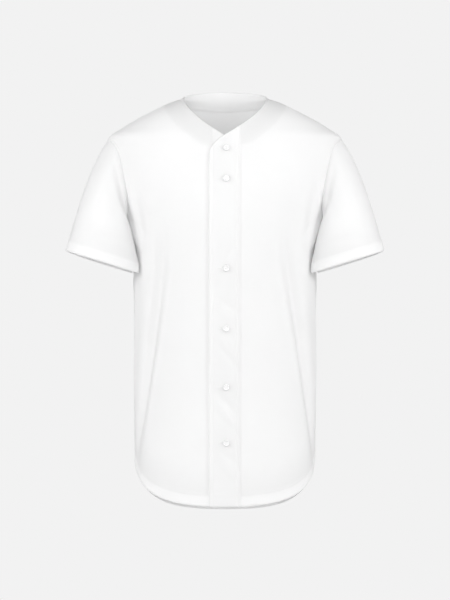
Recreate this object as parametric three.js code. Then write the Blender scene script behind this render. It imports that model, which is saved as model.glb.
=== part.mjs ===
// Short-sleeved baseball jersey, buttoned to the neck and filled out as when it is worn, with nothing inside it.
// Millimetres, +Z up, +X to the wearer's left; the front faces -Y. The origin is in the middle of the neck opening,
// level with the neck ends of the shoulder seams.
import * as THREE from "three";
import { mergeVertices } from "three/addons/utils/BufferGeometryUtils.js";

// Driving sizes
const CLOTH = 1.5; // one layer of cloth
const PLACKET_CLOTH = 2.2; // the folded cloth of a placket
const FACING_CLOTH = 1.0; // the neck facing
const SEAM_GAP = 0.4; // between pieces that are sewn edge to edge
const LAYER_GAP = 0.6; // between pieces that lie on each other
const FACING_GAP = 1.2; // between the facing and the panels that it lies inside
const HEM_TURN = 20; // height of the turned-up hem
const SLEEVE_TURN = 19; // height of the sleeve's turned-up hem
const TURN_STEP = 2; // height over which the doubled hem thins to one layer
const STEP_TOP = HEM_TURN + TURN_STEP;
const PLACKET_HALF = 28.5; // half the width of the upper placket
const PLACKET_LEVEL_Z = -200; // above this the plackets' rows spread to follow the neckline
const UNDER_SEAM_X = 24; // where the under placket joins the right front
const LIFT_RUN = 45; // over which the left front comes down from the placket's level
const QUARTER_ARC = 262; // rough length of a quarter of the body's ring
const FACING_WIDTH = 40;
const FRONT_HEM_Z = -765; // at the placket
const BACK_HEM_Z = -793; // at the middle of the back
const SIDE_HEM_Z = -687; // at the side seams
const UNDERARM_Z = -240;
const PLACKET_TOP_Z = -60.5; // where the upper placket's seam meets the neckline
const BACK_NECK_Z = 17;

// Horizontal rings of the body: half width, the depth of its sides, front and back, and how square each ring is
const RINGS = [
  { z: -840, halfWidth: 168, sideY: 6, frontY: -116, backY: 125, square: 0.62 },
  { z: -765, halfWidth: 169.5, sideY: 6, frontY: -118, backY: 123, square: 0.62 },
  { z: -680, halfWidth: 171.5, sideY: 6, frontY: -122, backY: 120, square: 0.62 },
  { z: -560, halfWidth: 172.5, sideY: 6, frontY: -127, backY: 118, square: 0.62 },
  { z: -440, halfWidth: 173.5, sideY: 6, frontY: -132, backY: 117, square: 0.62 },
  { z: -355, halfWidth: 174.3, sideY: 6, frontY: -136, backY: 120, square: 0.62 },
  { z: -330, halfWidth: 173.9, sideY: 6, frontY: -137.5, backY: 121, square: 0.62 },
  { z: -300, halfWidth: 175.6, sideY: 5, frontY: -138.5, backY: 122.5, square: 0.62 },
  { z: -274, halfWidth: 179, sideY: 5, frontY: -139.2, backY: 123.5, square: 0.62 },
  { z: -255, halfWidth: 182.3, sideY: 5, frontY: -139.5, backY: 124.5, square: 0.62 },
  { z: -240, halfWidth: 185.5, sideY: 5, frontY: -139.5, backY: 125, square: 0.62 },
  { z: -222, halfWidth: 191, sideY: 5, frontY: -138.5, backY: 126, square: 0.61 },
  { z: -175, halfWidth: 205, sideY: 4, frontY: -133, backY: 126, square: 0.6 },
  { z: -127, halfWidth: 217, sideY: 4, frontY: -121, backY: 122, square: 0.59 },
  { z: -99, halfWidth: 222, sideY: 4, frontY: -112, backY: 116, square: 0.58 },
  { z: -77, halfWidth: 221, sideY: 4, frontY: -103, backY: 110, square: 0.57 },
  { z: -58, halfWidth: 196, sideY: 4, frontY: -94, backY: 103, square: 0.56 },
  { z: -41, halfWidth: 168, sideY: 4, frontY: -84, backY: 97, square: 0.56 },
  { z: -27, halfWidth: 141, sideY: 4, frontY: -73, backY: 91, square: 0.56 },
  { z: -11, halfWidth: 109, sideY: 5, frontY: -54, backY: 83, square: 0.56 },
  { z: 2, halfWidth: 79, sideY: 5, frontY: -24, backY: 76, square: 0.56 },
  { z: 20, halfWidth: 76, sideY: 5, frontY: -24, backY: 68, square: 0.56 },
];

// The armhole on the body's ring, from underarm to shoulder: ring place (0 centre, 1 side) and height
const ARMHOLE = [
  { q: 1, z: UNDERARM_Z },
  { q: 0.9, z: -236 },
  { q: 0.82, z: -227 },
  { q: 0.765, z: -213 },
  { q: 0.72, z: -190 },
  { q: 0.7, z: -160 },
  { q: 0.7, z: -130 },
  { q: 0.715, z: -108 },
  { q: 0.76, z: -95 },
  { q: 0.84, z: -86 },
  { q: 0.93, z: -80 },
  { q: 1, z: -77 },
];

// The front neckline, from the placket's rounded corner past the centre up to the shoulder seam, as seen from the front
const NECKLINE = [
  { x: -PLACKET_HALF, z: -119 },
  { x: -27.2, z: -109 },
  { x: -22.5, z: -99 },
  { x: -14, z: -89.5 },
  { x: -3, z: -81 },
  { x: 14, z: -70.5 },
  { x: PLACKET_HALF, z: PLACKET_TOP_Z },
  { x: 44, z: -49 },
  { x: 58, z: -36.5 },
  { x: 71.5, z: -20 },
  { x: 77.3, z: -7 },
  { x: 79, z: 2 },
];

// The back neckline, from the middle of the back to the shoulder seam
const BACK_NECK = [
  { q: 2, z: BACK_NECK_Z },
  { q: 1.7, z: 15 },
  { q: 1.4, z: 10 },
  { q: 1.16, z: 5 },
  { q: 1, z: 2 },
];

// Rows of half a panel from hem to shoulder: steps from the row before, heights at the middle and the side seam, then
// the shares of the neckline and armhole that are passed, how much the row follows the hem's curve, and how much it
// bows down to reach the armhole from below
const LOWER_ROWS = (hemZ) => [
  { steps: 0, innerZ: hemZ, outerZ: SIDE_HEM_Z, neck: 0, arm: 0, hemCurve: 1, bow: 0 },
  { steps: 1, innerZ: hemZ + HEM_TURN, outerZ: SIDE_HEM_Z + HEM_TURN, neck: 0, arm: 0, hemCurve: 1, bow: 0 },
  { steps: 1, innerZ: hemZ + STEP_TOP, outerZ: SIDE_HEM_Z + STEP_TOP, neck: 0, arm: 0, hemCurve: 1, bow: 0 },
  { steps: 6, innerZ: -505, outerZ: -470, neck: 0, arm: 0, hemCurve: 0.35, bow: 0 },
  { steps: 5, innerZ: -290, outerZ: -300, neck: 0, arm: 0, hemCurve: 0.05, bow: 0.4 },
  { steps: 3, innerZ: -200, outerZ: UNDERARM_Z, neck: 0, arm: 0, hemCurve: 0, bow: 1 },
];
const FRONT_ROWS = [
  ...LOWER_ROWS(FRONT_HEM_Z),
  { steps: 7, innerZ: PLACKET_TOP_Z, outerZ: UNDERARM_Z, neck: 0, arm: 0.42, hemCurve: 0, bow: 0.3 },
  { steps: 7, innerZ: PLACKET_TOP_Z, outerZ: UNDERARM_Z, neck: 1, arm: 1, hemCurve: 0, bow: 0 },
];
const BACK_ROWS = [
  ...LOWER_ROWS(BACK_HEM_Z),
  { steps: 8, innerZ: BACK_NECK_Z, outerZ: UNDERARM_Z, neck: 0, arm: 0.6, hemCurve: 0, bow: 0.2 },
  { steps: 5, innerZ: BACK_NECK_Z, outerZ: UNDERARM_Z, neck: 1, arm: 1, hemCurve: 0, bow: 0 },
];
const PANEL_COLUMNS = 13;
const PLACKET_COLUMNS = 5;
const FACING_COLUMNS = 3;
const FACING_ROWS = 9; // of a front facing, or of half the back one
const FRONT_HEM_BELLY = 13; // how far the front hem's curve has risen at its outer handle
const BACK_HEM_BELLY = 24;
const VENT_ROUNDING = 0.035; // how softly the hem turns over at a side seam, as a share of a quarter ring

// Large soft folds of the body, each a trough along a curve through three places on the ring
const FOLDS = [
  { q0: -0.43, z0: -235, q1: -0.47, z1: -430, q2: -0.86, z2: -690, width: 17, depth: 6.5 },
  { q0: 0.39, z0: -228, q1: 0.5, z1: -400, q2: 0.9, z2: -700, width: 17, depth: 6.5 },
  { q0: -0.6, z0: -150, q1: -0.62, z1: -210, q2: -0.68, z2: -330, width: 15, depth: 4 },
  { q0: 0.6, z0: -150, q1: 0.62, z1: -205, q2: 0.68, z2: -320, width: 15, depth: 4 },
  { q0: -0.93, z0: -350, q1: -0.97, z1: -470, q2: -1.06, z2: -640, width: 15, depth: 3.5 },
  { q0: 0.94, z0: -360, q1: 1, z1: -480, q2: 1.08, z2: -650, width: 15, depth: 3.5 },
  { q0: -1.55, z0: -210, q1: -1.52, z1: -420, q2: -1.2, z2: -690, width: 19, depth: 6 },
  { q0: 1.57, z0: -220, q1: 1.5, z1: -400, q2: 1.17, z2: -680, width: 19, depth: 6 },
  { q0: -1.82, z0: -330, q1: -1.8, z1: -500, q2: -1.72, z2: -740, width: 22, depth: 4 },
  { q0: 1.86, z0: -300, q1: 1.83, z1: -480, q2: 1.76, z2: -750, width: 22, depth: 4 },
];
const FOLD_STEPS = 10;

// The sleeve: the ring of its hem, and how its cloth leaves the armhole and reaches the hem. Its ribs run round the
// arm, w being 0 at the top, a quarter at the front and a half at the underarm.
const SLEEVE_HEM = {
  centre: new THREE.Vector3(238.5, -8, -309.5),
  across: new THREE.Vector3(0.955, 0, 0.297),
  halfAcross: 66,
  halfDeep: 74,
  innerSquare: 0.6, // the ring is squarer on the body's side
  outerSquare: 0.9,
  deepSquare: 0.8,
  frontCorner: 36, // how far its corners beside the body are drawn towards it
  backCorner: 12,
};
const SLEEVE_RIBS = [
  { w: 0, leave: [0.59, 0, -0.8], leaveBy: 60, reach: [0.27, 0, -0.963], reachBy: 80 },
  { w: 0.125, leave: [0.5, -0.24, -0.83], leaveBy: 52, reach: [0.27, 0, -0.963], reachBy: 62 },
  { w: 0.25, leave: [0.33, -0.3, -0.9], leaveBy: 44, reach: [0.25, 0, -0.97], reachBy: 45 },
  { w: 0.375, leave: [0.2, -0.6, -0.77], leaveBy: 20, reach: [0.16, 0, -0.98], reachBy: 35 },
  { w: 0.5, leave: [0.9, 0, -0.43], leaveBy: 4, reach: [0.02, 0, -1], reachBy: 30 },
  { w: 0.625, leave: [0.2, 0.6, -0.77], leaveBy: 20, reach: [0.16, 0, -0.98], reachBy: 35 },
  { w: 0.75, leave: [0.33, 0.3, -0.9], leaveBy: 44, reach: [0.25, 0, -0.97], reachBy: 45 },
  { w: 0.875, leave: [0.5, 0.24, -0.83], leaveBy: 52, reach: [0.27, 0, -0.963], reachBy: 62 },
];
const SLEEVE_STEPS = 8; // rows between the armhole and the turned hem
const SLEEVE_FOLD = { fromSeam: 20, width: 9, depth: 3.2, front: 0.27, back: 0.73, reach: 0.14 };

// Buttons down the middle of the placket
const BUTTON_HEIGHTS = [-104, -161, -325, -436, -544, -647];
const BUTTON = { x: 2.5, radius: 6.3, rim: 2.6, dish: 1.7, dishRadius: 4.1, edge: 0.5, sides: 20 };

// Fineness of the numerical work
const CURVE_SAMPLES = 400;
const SEARCH_STEPS = 40;
const FORM_STEP = { q: 0.004, z: 0.6, down: 0.25 };
const SHARPEST_MITRE = 0.55;
const SAME_POINT = 0.001;

const lerp = (a, b, t) => a + (b - a) * t;
const smoothstep = (t) => {
  const c = Math.min(1, Math.max(0, t));
  return c * c * (3 - 2 * c);
};

// One column of a table that is ordered by z, as a smooth function that never overshoots its rows
function column(rows, name) {
  const z = rows.map((row) => row.z);
  const value = rows.map((row) => row[name]);
  const chord = value.slice(1).map((v, i) => (v - value[i]) / (z[i + 1] - z[i]));
  const slope = value.map((_, i) => {
    if (i === 0) return chord[0];
    if (i === value.length - 1) return chord[i - 1];
    const [before, after] = [chord[i - 1], chord[i]];
    return before * after <= 0 ? 0 : (2 * before * after) / (before + after);
  });
  return (at) => {
    const inside = Math.min(z[z.length - 1], Math.max(z[0], at));
    let i = 0;
    while (i < z.length - 2 && inside > z[i + 1]) i += 1;
    const span = z[i + 1] - z[i];
    const t = (inside - z[i]) / span;
    const rise = 3 * t * t - 2 * t * t * t;
    return (
      lerp(value[i], value[i + 1], rise) +
      span * (t * (1 - t) * (1 - t) * slope[i] - t * t * (1 - t) * slope[i + 1])
    );
  };
}

const ring = Object.fromEntries(
  ["halfWidth", "sideY", "frontY", "backY", "square"].map((name) => [name, column(RINGS, name)]),
);

// Share of the half width and of the depth, a quarter of the way round a ring from its centre (0) to its side (1)
const widthShare = (t, square) => 3 * square * t * (1 - t) ** 2 + 3 * t * t * (1 - t) + t ** 3;
const depthShare = (t, square) => (1 - t) ** 3 + 3 * t * (1 - t) ** 2 + 3 * square * t * t * (1 - t);

// The bare form at ring place q and height z: q is 0 at the front centre, 1 and -1 at the sides and 2 at the back centre
function bare(q, z) {
  const turned = ((((q + 2) % 4) + 4) % 4) - 2;
  const size = Math.abs(turned);
  const t = size <= 1 ? size : 2 - size;
  const side = ring.sideY(z);
  const far = size <= 1 ? ring.frontY(z) : ring.backY(z);
  return new THREE.Vector3(
    Math.sign(turned) * ring.halfWidth(z) * widthShare(t, ring.square(z)),
    side + (far - side) * depthShare(t, ring.square(z)),
    z,
  );
}

// The outward direction of a surface that is given as a function of q and z
function outward(surface, q, z) {
  const along = surface(q + FORM_STEP.q, z).sub(surface(q - FORM_STEP.q, z));
  const up = surface(q, z + FORM_STEP.z).sub(surface(q, z - FORM_STEP.z));
  return along.cross(up).normalize();
}

// Depth of the folds at a place, from the nearest point of each fold's curve
function relief(place, z) {
  return FOLDS.reduce((sum, fold) => {
    const q = place + 4 * Math.round((fold.q1 - place) / 4);
    let nearest = { distance: Infinity, t: 0 };
    for (let i = 0; i < FOLD_STEPS; i += 1) {
      const curveAt = (t) => [
        QUARTER_ARC * ((1 - t) ** 2 * fold.q0 + 2 * t * (1 - t) * fold.q1 + t * t * fold.q2),
        (1 - t) ** 2 * fold.z0 + 2 * t * (1 - t) * fold.z1 + t * t * fold.z2,
      ];
      const [x0, z0] = curveAt(i / FOLD_STEPS);
      const [x1, z1] = curveAt((i + 1) / FOLD_STEPS);
      const length = (x1 - x0) ** 2 + (z1 - z0) ** 2;
      const along = ((q * QUARTER_ARC - x0) * (x1 - x0) + (z - z0) * (z1 - z0)) / length;
      const t = Math.min(1, Math.max(0, along));
      const distance = Math.hypot(q * QUARTER_ARC - lerp(x0, x1, t), z - lerp(z0, z1, t));
      if (distance < nearest.distance) nearest = { distance, t: (i + t) / FOLD_STEPS };
    }
    const ends = Math.sin(Math.PI * nearest.t);
    return sum - fold.depth * ends * Math.exp(-((nearest.distance / fold.width) ** 2));
  }, 0);
}

// The cloth's own surface: the bare form with its folds
function skin(q, z) {
  return bare(q, z).addScaledVector(outward(bare, q, z), relief(q, z));
}

// Ring place of a point that is seen at x from the front, at height z
function placeOf(x, z) {
  const share = Math.abs(x) / ring.halfWidth(z);
  let [low, high] = [0, 1];
  for (let i = 0; i < SEARCH_STEPS; i += 1) {
    const middle = (low + high) / 2;
    if (widthShare(middle, ring.square(z)) < share) low = middle;
    else high = middle;
  }
  return (Math.sign(x) * (low + high)) / 2;
}

// A smooth line through places on the form, read by the share of its real length
function lineOn(places) {
  const curve = new THREE.CatmullRomCurve3(
    places.map(({ q, z }) => new THREE.Vector3(q * QUARTER_ARC, z, 0)),
    false,
    "centripetal",
  );
  const found = [];
  let length = 0;
  for (let i = 0; i <= CURVE_SAMPLES; i += 1) {
    const at = curve.getPoint(i / CURVE_SAMPLES);
    const place = { q: at.x / QUARTER_ARC, z: at.y };
    const point = bare(place.q, place.z);
    if (i) length += point.distanceTo(found[i - 1].point);
    found.push({ ...place, point, length });
  }
  return (share) => {
    const wanted = share * length;
    let i = 1;
    while (i < CURVE_SAMPLES && found[i].length < wanted) i += 1;
    const [a, b] = [found[i - 1], found[i]];
    const t = Math.min(1, Math.max(0, (wanted - a.length) / (b.length - a.length)));
    return { q: lerp(a.q, b.q, t), z: lerp(a.z, b.z, t) };
  };
}

const neckCurve = new THREE.CatmullRomCurve3(
  NECKLINE.map(({ x, z }) => new THREE.Vector3(x, z, 0)),
  false,
  "centripetal",
).getPoints(CURVE_SAMPLES);

// Height of the neckline at x, on the side of the centre that the upper placket is sewn to
function neckHeight(x) {
  const i = Math.max(1, neckCurve.findIndex((p) => p.x >= x));
  const [a, b] = [neckCurve[i - 1], neckCurve[i]];
  return lerp(a.y, b.y, Math.min(1, Math.max(0, (x - a.x) / (b.x - a.x))));
}

// The front neckline from a placket's seam up to the shoulder
function neckFrom(seamX) {
  const beyond = NECKLINE.filter(({ x }) => x > seamX + 1).map(({ x, z }) => ({ q: placeOf(x, z), z }));
  beyond[beyond.length - 1].q = 1;
  const z = neckHeight(seamX);
  return lineOn([{ q: placeOf(seamX, z), z }, ...beyond]);
}
const backNeck = lineOn(BACK_NECK);
const armhole = lineOn(ARMHOLE);

// Height of the hem between its middle, where quarter is 0, and the side seam, where it is 1
function hemHeight(quarter, middle, belly) {
  const fromSide = Math.hypot(1 - quarter, VENT_ROUNDING) - VENT_ROUNDING;
  const t = 1 - fromSide / (Math.hypot(1, VENT_ROUNDING) - VENT_ROUNDING);
  const flat = (1 - t) ** 3 + 3 * t * (1 - t) ** 2;
  return middle * flat + (middle + belly) * 3 * t * t * (1 - t) + SIDE_HEM_Z * t ** 3;
}

// The rows of a table with their steps filled in
function stepped(table) {
  return table.flatMap((row, i) =>
    Array.from({ length: i ? row.steps : 1 }, (_, k) => {
      const t = i ? (k + 1) / row.steps : 1;
      const from = table[Math.max(0, i - 1)];
      return Object.fromEntries(Object.keys(row).map((key) => [key, lerp(from[key], row[key], t)]));
    }),
  );
}

const frontRows = stepped(FRONT_ROWS);
const backRows = stepped(BACK_ROWS);
const underarmRow = frontRows.filter((row) => row.arm === 0).length - 1;
const frontNeckRow = frontRows.filter((row) => row.neck === 0).length - 1;
const backNeckRow = backRows.filter((row) => row.neck === 0).length - 1;

// Places of half a front or back panel, row by row from the middle to the side, on the +X side
function places(rows, { inner, outer, hem, columns }) {
  return rows.map((row) => {
    const [from, to] = [inner(row), outer(row)];
    const bulge = (q) => (row.hemCurve ? row.hemCurve * hem(q) : 0);
    return Array.from({ length: columns + 1 }, (_, i) => {
      const t = i / columns;
      const q = lerp(from.q, to.q, t);
      const fall = lerp(t, 1 - (1 - t) ** 2, row.bow);
      const curve = bulge(q) - lerp(bulge(from.q), bulge(to.q), t);
      return { q, z: lerp(from.z, to.z, fall) + curve };
    });
  });
}

// Heights of the front rows along a placket's seam, whose top is the neckline's height there
function seamHeight(row, seamX) {
  const share = (row.innerZ - FRONT_HEM_Z) / (PLACKET_TOP_Z - FRONT_HEM_Z);
  return lerp(FRONT_HEM_Z, neckHeight(seamX), share);
}

function atSeam(seamX) {
  const neck = neckFrom(seamX);
  return (row) => {
    const z = seamHeight(row, seamX);
    return row.neck ? neck(row.neck) : { q: placeOf(seamX, z), z };
  };
}

const frontSide = (row) => (row.arm ? armhole(row.arm) : { q: 1, z: row.outerZ });
const backSide = (row) => {
  const { q, z } = frontSide(row);
  return { q: 2 - q, z };
};
const frontHem = (q) => hemHeight(q, FRONT_HEM_Z, FRONT_HEM_BELLY);
const backHem = (q) => hemHeight(2 - q, BACK_HEM_Z, BACK_HEM_BELLY);

const frontPlaces = (seamX) =>
  places(frontRows, { inner: atSeam(seamX), outer: frontSide, hem: frontHem, columns: PANEL_COLUMNS });
const backPlaces = places(backRows, {
  inner: (row) => (row.neck ? backNeck(row.neck) : { q: 2, z: row.innerZ }),
  outer: backSide,
  hem: backHem,
  columns: PANEL_COLUMNS,
});

// The cloth at each place: a point of its outer side and the way out
const drape = (grid, side) =>
  grid.map((row) => row.map(({ q, z }) => ({ point: skin(side * q, z), out: outward(skin, side * q, z), mitre: 1 })));

// Moves an edge of a grid towards the points beside it, at right angles to the edge, by half a seam's gap
function trim(edge, beside, closed = false) {
  const count = edge.length;
  const neighbour = (i) => edge[closed ? (i + count) % count : Math.min(count - 1, Math.max(0, i))].point;
  const moves = edge.map(({ point, out }, i) => {
    const across = neighbour(i + 1).clone().sub(neighbour(i - 1)).cross(out).normalize();
    const inwards = Math.sign(across.dot(beside[i].point.clone().sub(point)));
    return across.multiplyScalar((inwards * SEAM_GAP) / 2);
  });
  edge.forEach((at, i) => {
    at.point = at.point.clone().add(moves[i]);
  });
}

// Triangles of one solid, gathered from grids of points
class Solid {
  constructor() {
    this.corners = [];
  }
  face(a, b, c, d) {
    this.corners.push(a, b, c, a, c, d);
  }
  grid(points, flip) {
    for (let r = 0; r + 1 < points.length; r += 1)
      for (let c = 0; c + 1 < points[r].length; c += 1) {
        const [a, b, d, e] = [points[r][c], points[r][c + 1], points[r + 1][c + 1], points[r + 1][c]];
        if (flip) this.face(a, e, d, b);
        else this.face(a, b, d, e);
      }
  }
  rim(outer, inner, flip) {
    this.grid([inner, outer], flip);
  }
  mesh(name, material) {
    const flat = this.corners.flatMap((p) => [p.x, p.y, p.z]);
    const raw = new THREE.BufferGeometry();
    raw.setAttribute("position", new THREE.Float32BufferAttribute(flat, 3));
    const geometry = mergeVertices(raw, SAME_POINT);
    geometry.computeVertexNormals();
    const made = new THREE.Mesh(geometry, material);
    made.name = name;
    return made;
  }
}

// Moves every point of a grid outwards; amount is a length, or gives one for a row and column
const moved = (grid, amount) =>
  grid.map((row, r) =>
    row.map(({ point, out, mitre }, c) =>
      point.clone().addScaledVector(out, typeof amount === "function" ? amount(r, c, mitre) : amount),
    ),
  );
const columnOf = (grid, c) => grid.map((row) => row[c]);

// Adds a wall between two grids whose rows run outwards on the given side. A half that is joined to its mirror image
// has no rim there: it leaves out its first row's rim, or its first column's below the row middleFrom.
function addWall(solid, outer, inner, side, { middleFrom = 0, joinedBelow = false } = {}) {
  const flip = side < 0;
  const last = outer[0].length - 1;
  const top = outer.length - 1;
  solid.grid(outer, flip);
  solid.grid(inner, !flip);
  if (!joinedBelow) solid.rim(outer[0], inner[0], flip);
  solid.rim(outer[top], inner[top], !flip);
  solid.rim(columnOf(outer, last), columnOf(inner, last), flip);
  solid.rim(columnOf(outer, 0).slice(middleFrom), columnOf(inner, 0).slice(middleFrom), !flip);
}

// Cloth is doubled where the hem is turned up
const hemThickness = (row) => (row <= 1 ? 2 * CLOTH : CLOTH);

// One value of the sleeve's rib table at w, smooth all the way round
function ribValue(read, w) {
  const count = SLEEVE_RIBS.length;
  const i = Math.floor(w * count);
  const t = w * count - i;
  const [a, b, c, d] = [-1, 0, 1, 2].map((k) => read(SLEEVE_RIBS[(i + k + count) % count]));
  return b + 0.5 * t * (c - a + t * (2 * a - 5 * b + 4 * c - d + t * (3 * (b - c) + d - a)));
}
const ribVector = (name, w) =>
  new THREE.Vector3(...[0, 1, 2].map((axis) => ribValue((rib) => rib[name][axis], w))).normalize();

// One rib of the sleeve on the +X side: a curve from an armhole point to the hem
function rib(start, w) {
  const angle = 2 * Math.PI * w;
  const [cos, sin] = [Math.cos(angle), Math.sin(angle)];
  const square = (v, power) => Math.sign(v) * Math.abs(v) ** power;
  const across = SLEEVE_HEM.halfAcross * square(cos, cos < 0 ? SLEEVE_HEM.innerSquare : SLEEVE_HEM.outerSquare);
  const reachToBody = sin > 0 ? SLEEVE_HEM.frontCorner : SLEEVE_HEM.backCorner;
  const corner = cos < 0 ? reachToBody * Math.sin(2 * angle) ** 2 * Math.abs(sin) : 0;
  const end = SLEEVE_HEM.centre
    .clone()
    .addScaledVector(SLEEVE_HEM.across, across - corner)
    .add(new THREE.Vector3(0, -SLEEVE_HEM.halfDeep * square(sin, SLEEVE_HEM.deepSquare), 0));
  const leave = ribVector("leave", w).multiplyScalar(ribValue((r) => r.leaveBy, w));
  const reach = ribVector("reach", w).multiplyScalar(ribValue((r) => r.reachBy, w));
  return new THREE.CubicBezierCurve3(start, start.clone().add(leave), end.clone().sub(reach), end);
}

// Shares of a rib's length at which the sleeve has its rows, from the armhole to the hem
function ribShares(length) {
  const free = length - SLEEVE_TURN - TURN_STEP;
  const body = Array.from({ length: SLEEVE_STEPS + 1 }, (_, i) => ((i / SLEEVE_STEPS) * free) / length);
  return [...body, 1 - SLEEVE_TURN / length, 1];
}

const mirrored = (v, side) => new THREE.Vector3(side * v.x, v.y, v.z);

// The sleeve's cloth: rings of points from the armhole to the hem. It shares the armhole's points with the panels.
function sleeveCloth(front, back) {
  const last = PANEL_COLUMNS;
  const loop = [
    ...front.slice(underarmRow).reverse(),
    ...back.slice(underarmRow + 1, back.length - 1),
  ].map((row) => row[last]);
  const side = Math.sign(loop[0].point.x);
  const around = loop.length;
  const ribs = loop.map(({ point }, k) => {
    const curve = rib(mirrored(point, side), k / around);
    const length = curve.getLength();
    return { length, points: ribShares(length).map((share) => curve.getPointAt(share)) };
  });
  const rings = ribs[0].points.map((_, r) => ribs.map(({ points }) => mirrored(points[r], side)));
  const outs = rings.map((points, r) =>
    points.map((_, k) => {
      const along = rings[Math.min(r + 1, rings.length - 1)][k].clone().sub(rings[Math.max(r - 1, 0)][k]);
      const round = points[(k + 1) % around].clone().sub(points[(k + around - 1) % around]);
      return round.cross(along).multiplyScalar(side).normalize();
    }),
  );
  // A soft trough runs beside the armhole seam, at the front and the back
  rings.forEach((points, r) =>
    points.forEach((point, k) => {
      const fromSeam = ribShares(ribs[k].length)[r] * ribs[k].length;
      const across = Math.exp(-(((fromSeam - SLEEVE_FOLD.fromSeam) / SLEEVE_FOLD.width) ** 2));
      const along = [SLEEVE_FOLD.front, SLEEVE_FOLD.back]
        .map((w) => Math.exp(-(((k / around - w) / SLEEVE_FOLD.reach) ** 2)))
        .reduce((a, b) => a + b);
      point.addScaledVector(outs[r][k], -SLEEVE_FOLD.depth * across * along);
    }),
  );
  // At the seam the body's cloth and the sleeve's share one direction, so that their edges stay apart
  loop.forEach((seam, k) => {
    const shared = seam.out.clone().add(outs[0][k]).normalize();
    const mitre = 1 / Math.max(SHARPEST_MITRE, shared.dot(outs[0][k]));
    seam.out = shared;
    seam.mitre = mitre;
    outs[0][k] = shared;
    rings[0][k] = seam.point.clone();
  });
  return rings.map((points, r) =>
    points.map((point, k) => ({ point, out: outs[r][k], mitre: r ? 1 : loop[k].mitre })),
  );
}

function sleeve(name, cloth, material) {
  trim(cloth[0], cloth[1], true);
  const rows = cloth.length;
  const closed = cloth.map((row) => [...row, row[0]]);
  const thickness = (r) => (r >= rows - 2 ? 2 * CLOTH : CLOTH);
  const side = Math.sign(cloth[0][0].point.x);
  const outer = moved(closed, 0);
  const inner = moved(closed, (r, c, mitre) => -thickness(r) * mitre);
  const solid = new Solid();
  solid.grid(outer, side < 0);
  solid.grid(inner, side > 0);
  solid.rim(outer[0], inner[0], side < 0);
  solid.rim(outer[rows - 1], inner[rows - 1], side > 0);
  return solid.mesh(name, material);
}

// Half of the body's cloth on one side, with its sleeve, before any edge is trimmed
function bodySide(side) {
  const seamX = side > 0 ? PLACKET_HALF : UNDER_SEAM_X;
  const front = drape(frontPlaces(seamX), side);
  const back = drape(backPlaces, side);
  return { side, front, back, sleeveGrid: sleeveCloth(front, back) };
}

// Trims the edges that are sewn: side seam and armhole, shoulder seam, and the placket's seam below the neckline
function trimPanel(cloth, neckRow, hasPlacket) {
  const [edge, beside] = [columnOf(cloth, PANEL_COLUMNS), columnOf(cloth, PANEL_COLUMNS - 1)];
  trim(edge.slice(underarmRow), [...cloth[underarmRow - 1].slice(-1), ...beside.slice(underarmRow + 1)]);
  trim(edge.slice(0, underarmRow + 1), beside.slice(0, underarmRow + 1));
  trim(cloth[cloth.length - 1], cloth[cloth.length - 2]);
  if (!hasPlacket) return;
  trim(columnOf(cloth, 0).slice(0, neckRow + 1), columnOf(cloth, 1).slice(0, neckRow + 1));
}

// How far the left front stands above the right front beside the placket
const lift = (x) => (LAYER_GAP + CLOTH) * (1 - smoothstep((Math.abs(x) - PLACKET_HALF) / LIFT_RUN));

function frontPanel(name, { side, front }, material) {
  const raised = (r, c) => (side > 0 ? lift(front[r][c].point.x) : 0);
  const outer = moved(front, raised);
  const inner = moved(front, (r, c, mitre) => raised(r, c) - hemThickness(r) * mitre);
  const solid = new Solid();
  addWall(solid, outer, inner, side);
  return solid.mesh(name, material);
}

function backPanel(name, sides, material) {
  const solid = new Solid();
  sides.forEach(({ side, back }) => {
    back.slice(0, backNeckRow + 1).forEach((row) => {
      row[0].point.x = 0;
      row[0].out.x = 0;
    });
    const outer = moved(back, 0);
    const inner = moved(back, (r, c, mitre) => -hemThickness(r) * mitre);
    addWall(solid, outer, inner, -side, { middleFrom: backNeckRow });
  });
  return solid.mesh(name, material);
}

// The place that lies a given length further down the form from another
function below({ q, z }, length) {
  let [at, passed] = [z, 0];
  while (passed < length) {
    passed += bare(q, at).distanceTo(bare(q, at - FORM_STEP.down));
    at -= FORM_STEP.down;
  }
  return { q, z: at };
}

// The facing's places: rows along the neckline from its lower end to the shoulder, each from the neckline downwards
function facingPlaces(neck, rows) {
  return Array.from({ length: rows + 1 }, (_, r) => {
    const top = neck(r / rows);
    const bottom = below(top, FACING_WIDTH);
    return Array.from({ length: FACING_COLUMNS + 1 }, (_unused, c) => {
      const t = c / FACING_COLUMNS;
      return { q: lerp(top.q, bottom.q, t), z: lerp(top.z, bottom.z, t) };
    });
  });
}

// The neck facing lies inside the panels
function facing(name, parts, material) {
  const solid = new Solid();
  parts.forEach(({ grid, side, turned, joinedBelow }) => {
    const cloth = drape(grid, side);
    trim(cloth[cloth.length - 1], cloth[cloth.length - 2]);
    if (!joinedBelow) trim(cloth[0], cloth[1]);
    else
      cloth[0].forEach(({ point, out }) => {
        point.x = 0;
        out.x = 0;
      });
    const outer = moved(cloth, -CLOTH - FACING_GAP);
    const inner = moved(cloth, -CLOTH - FACING_GAP - FACING_CLOTH);
    addWall(solid, outer, inner, turned, { joinedBelow });
  });
  return solid.mesh(name, material);
}

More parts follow.
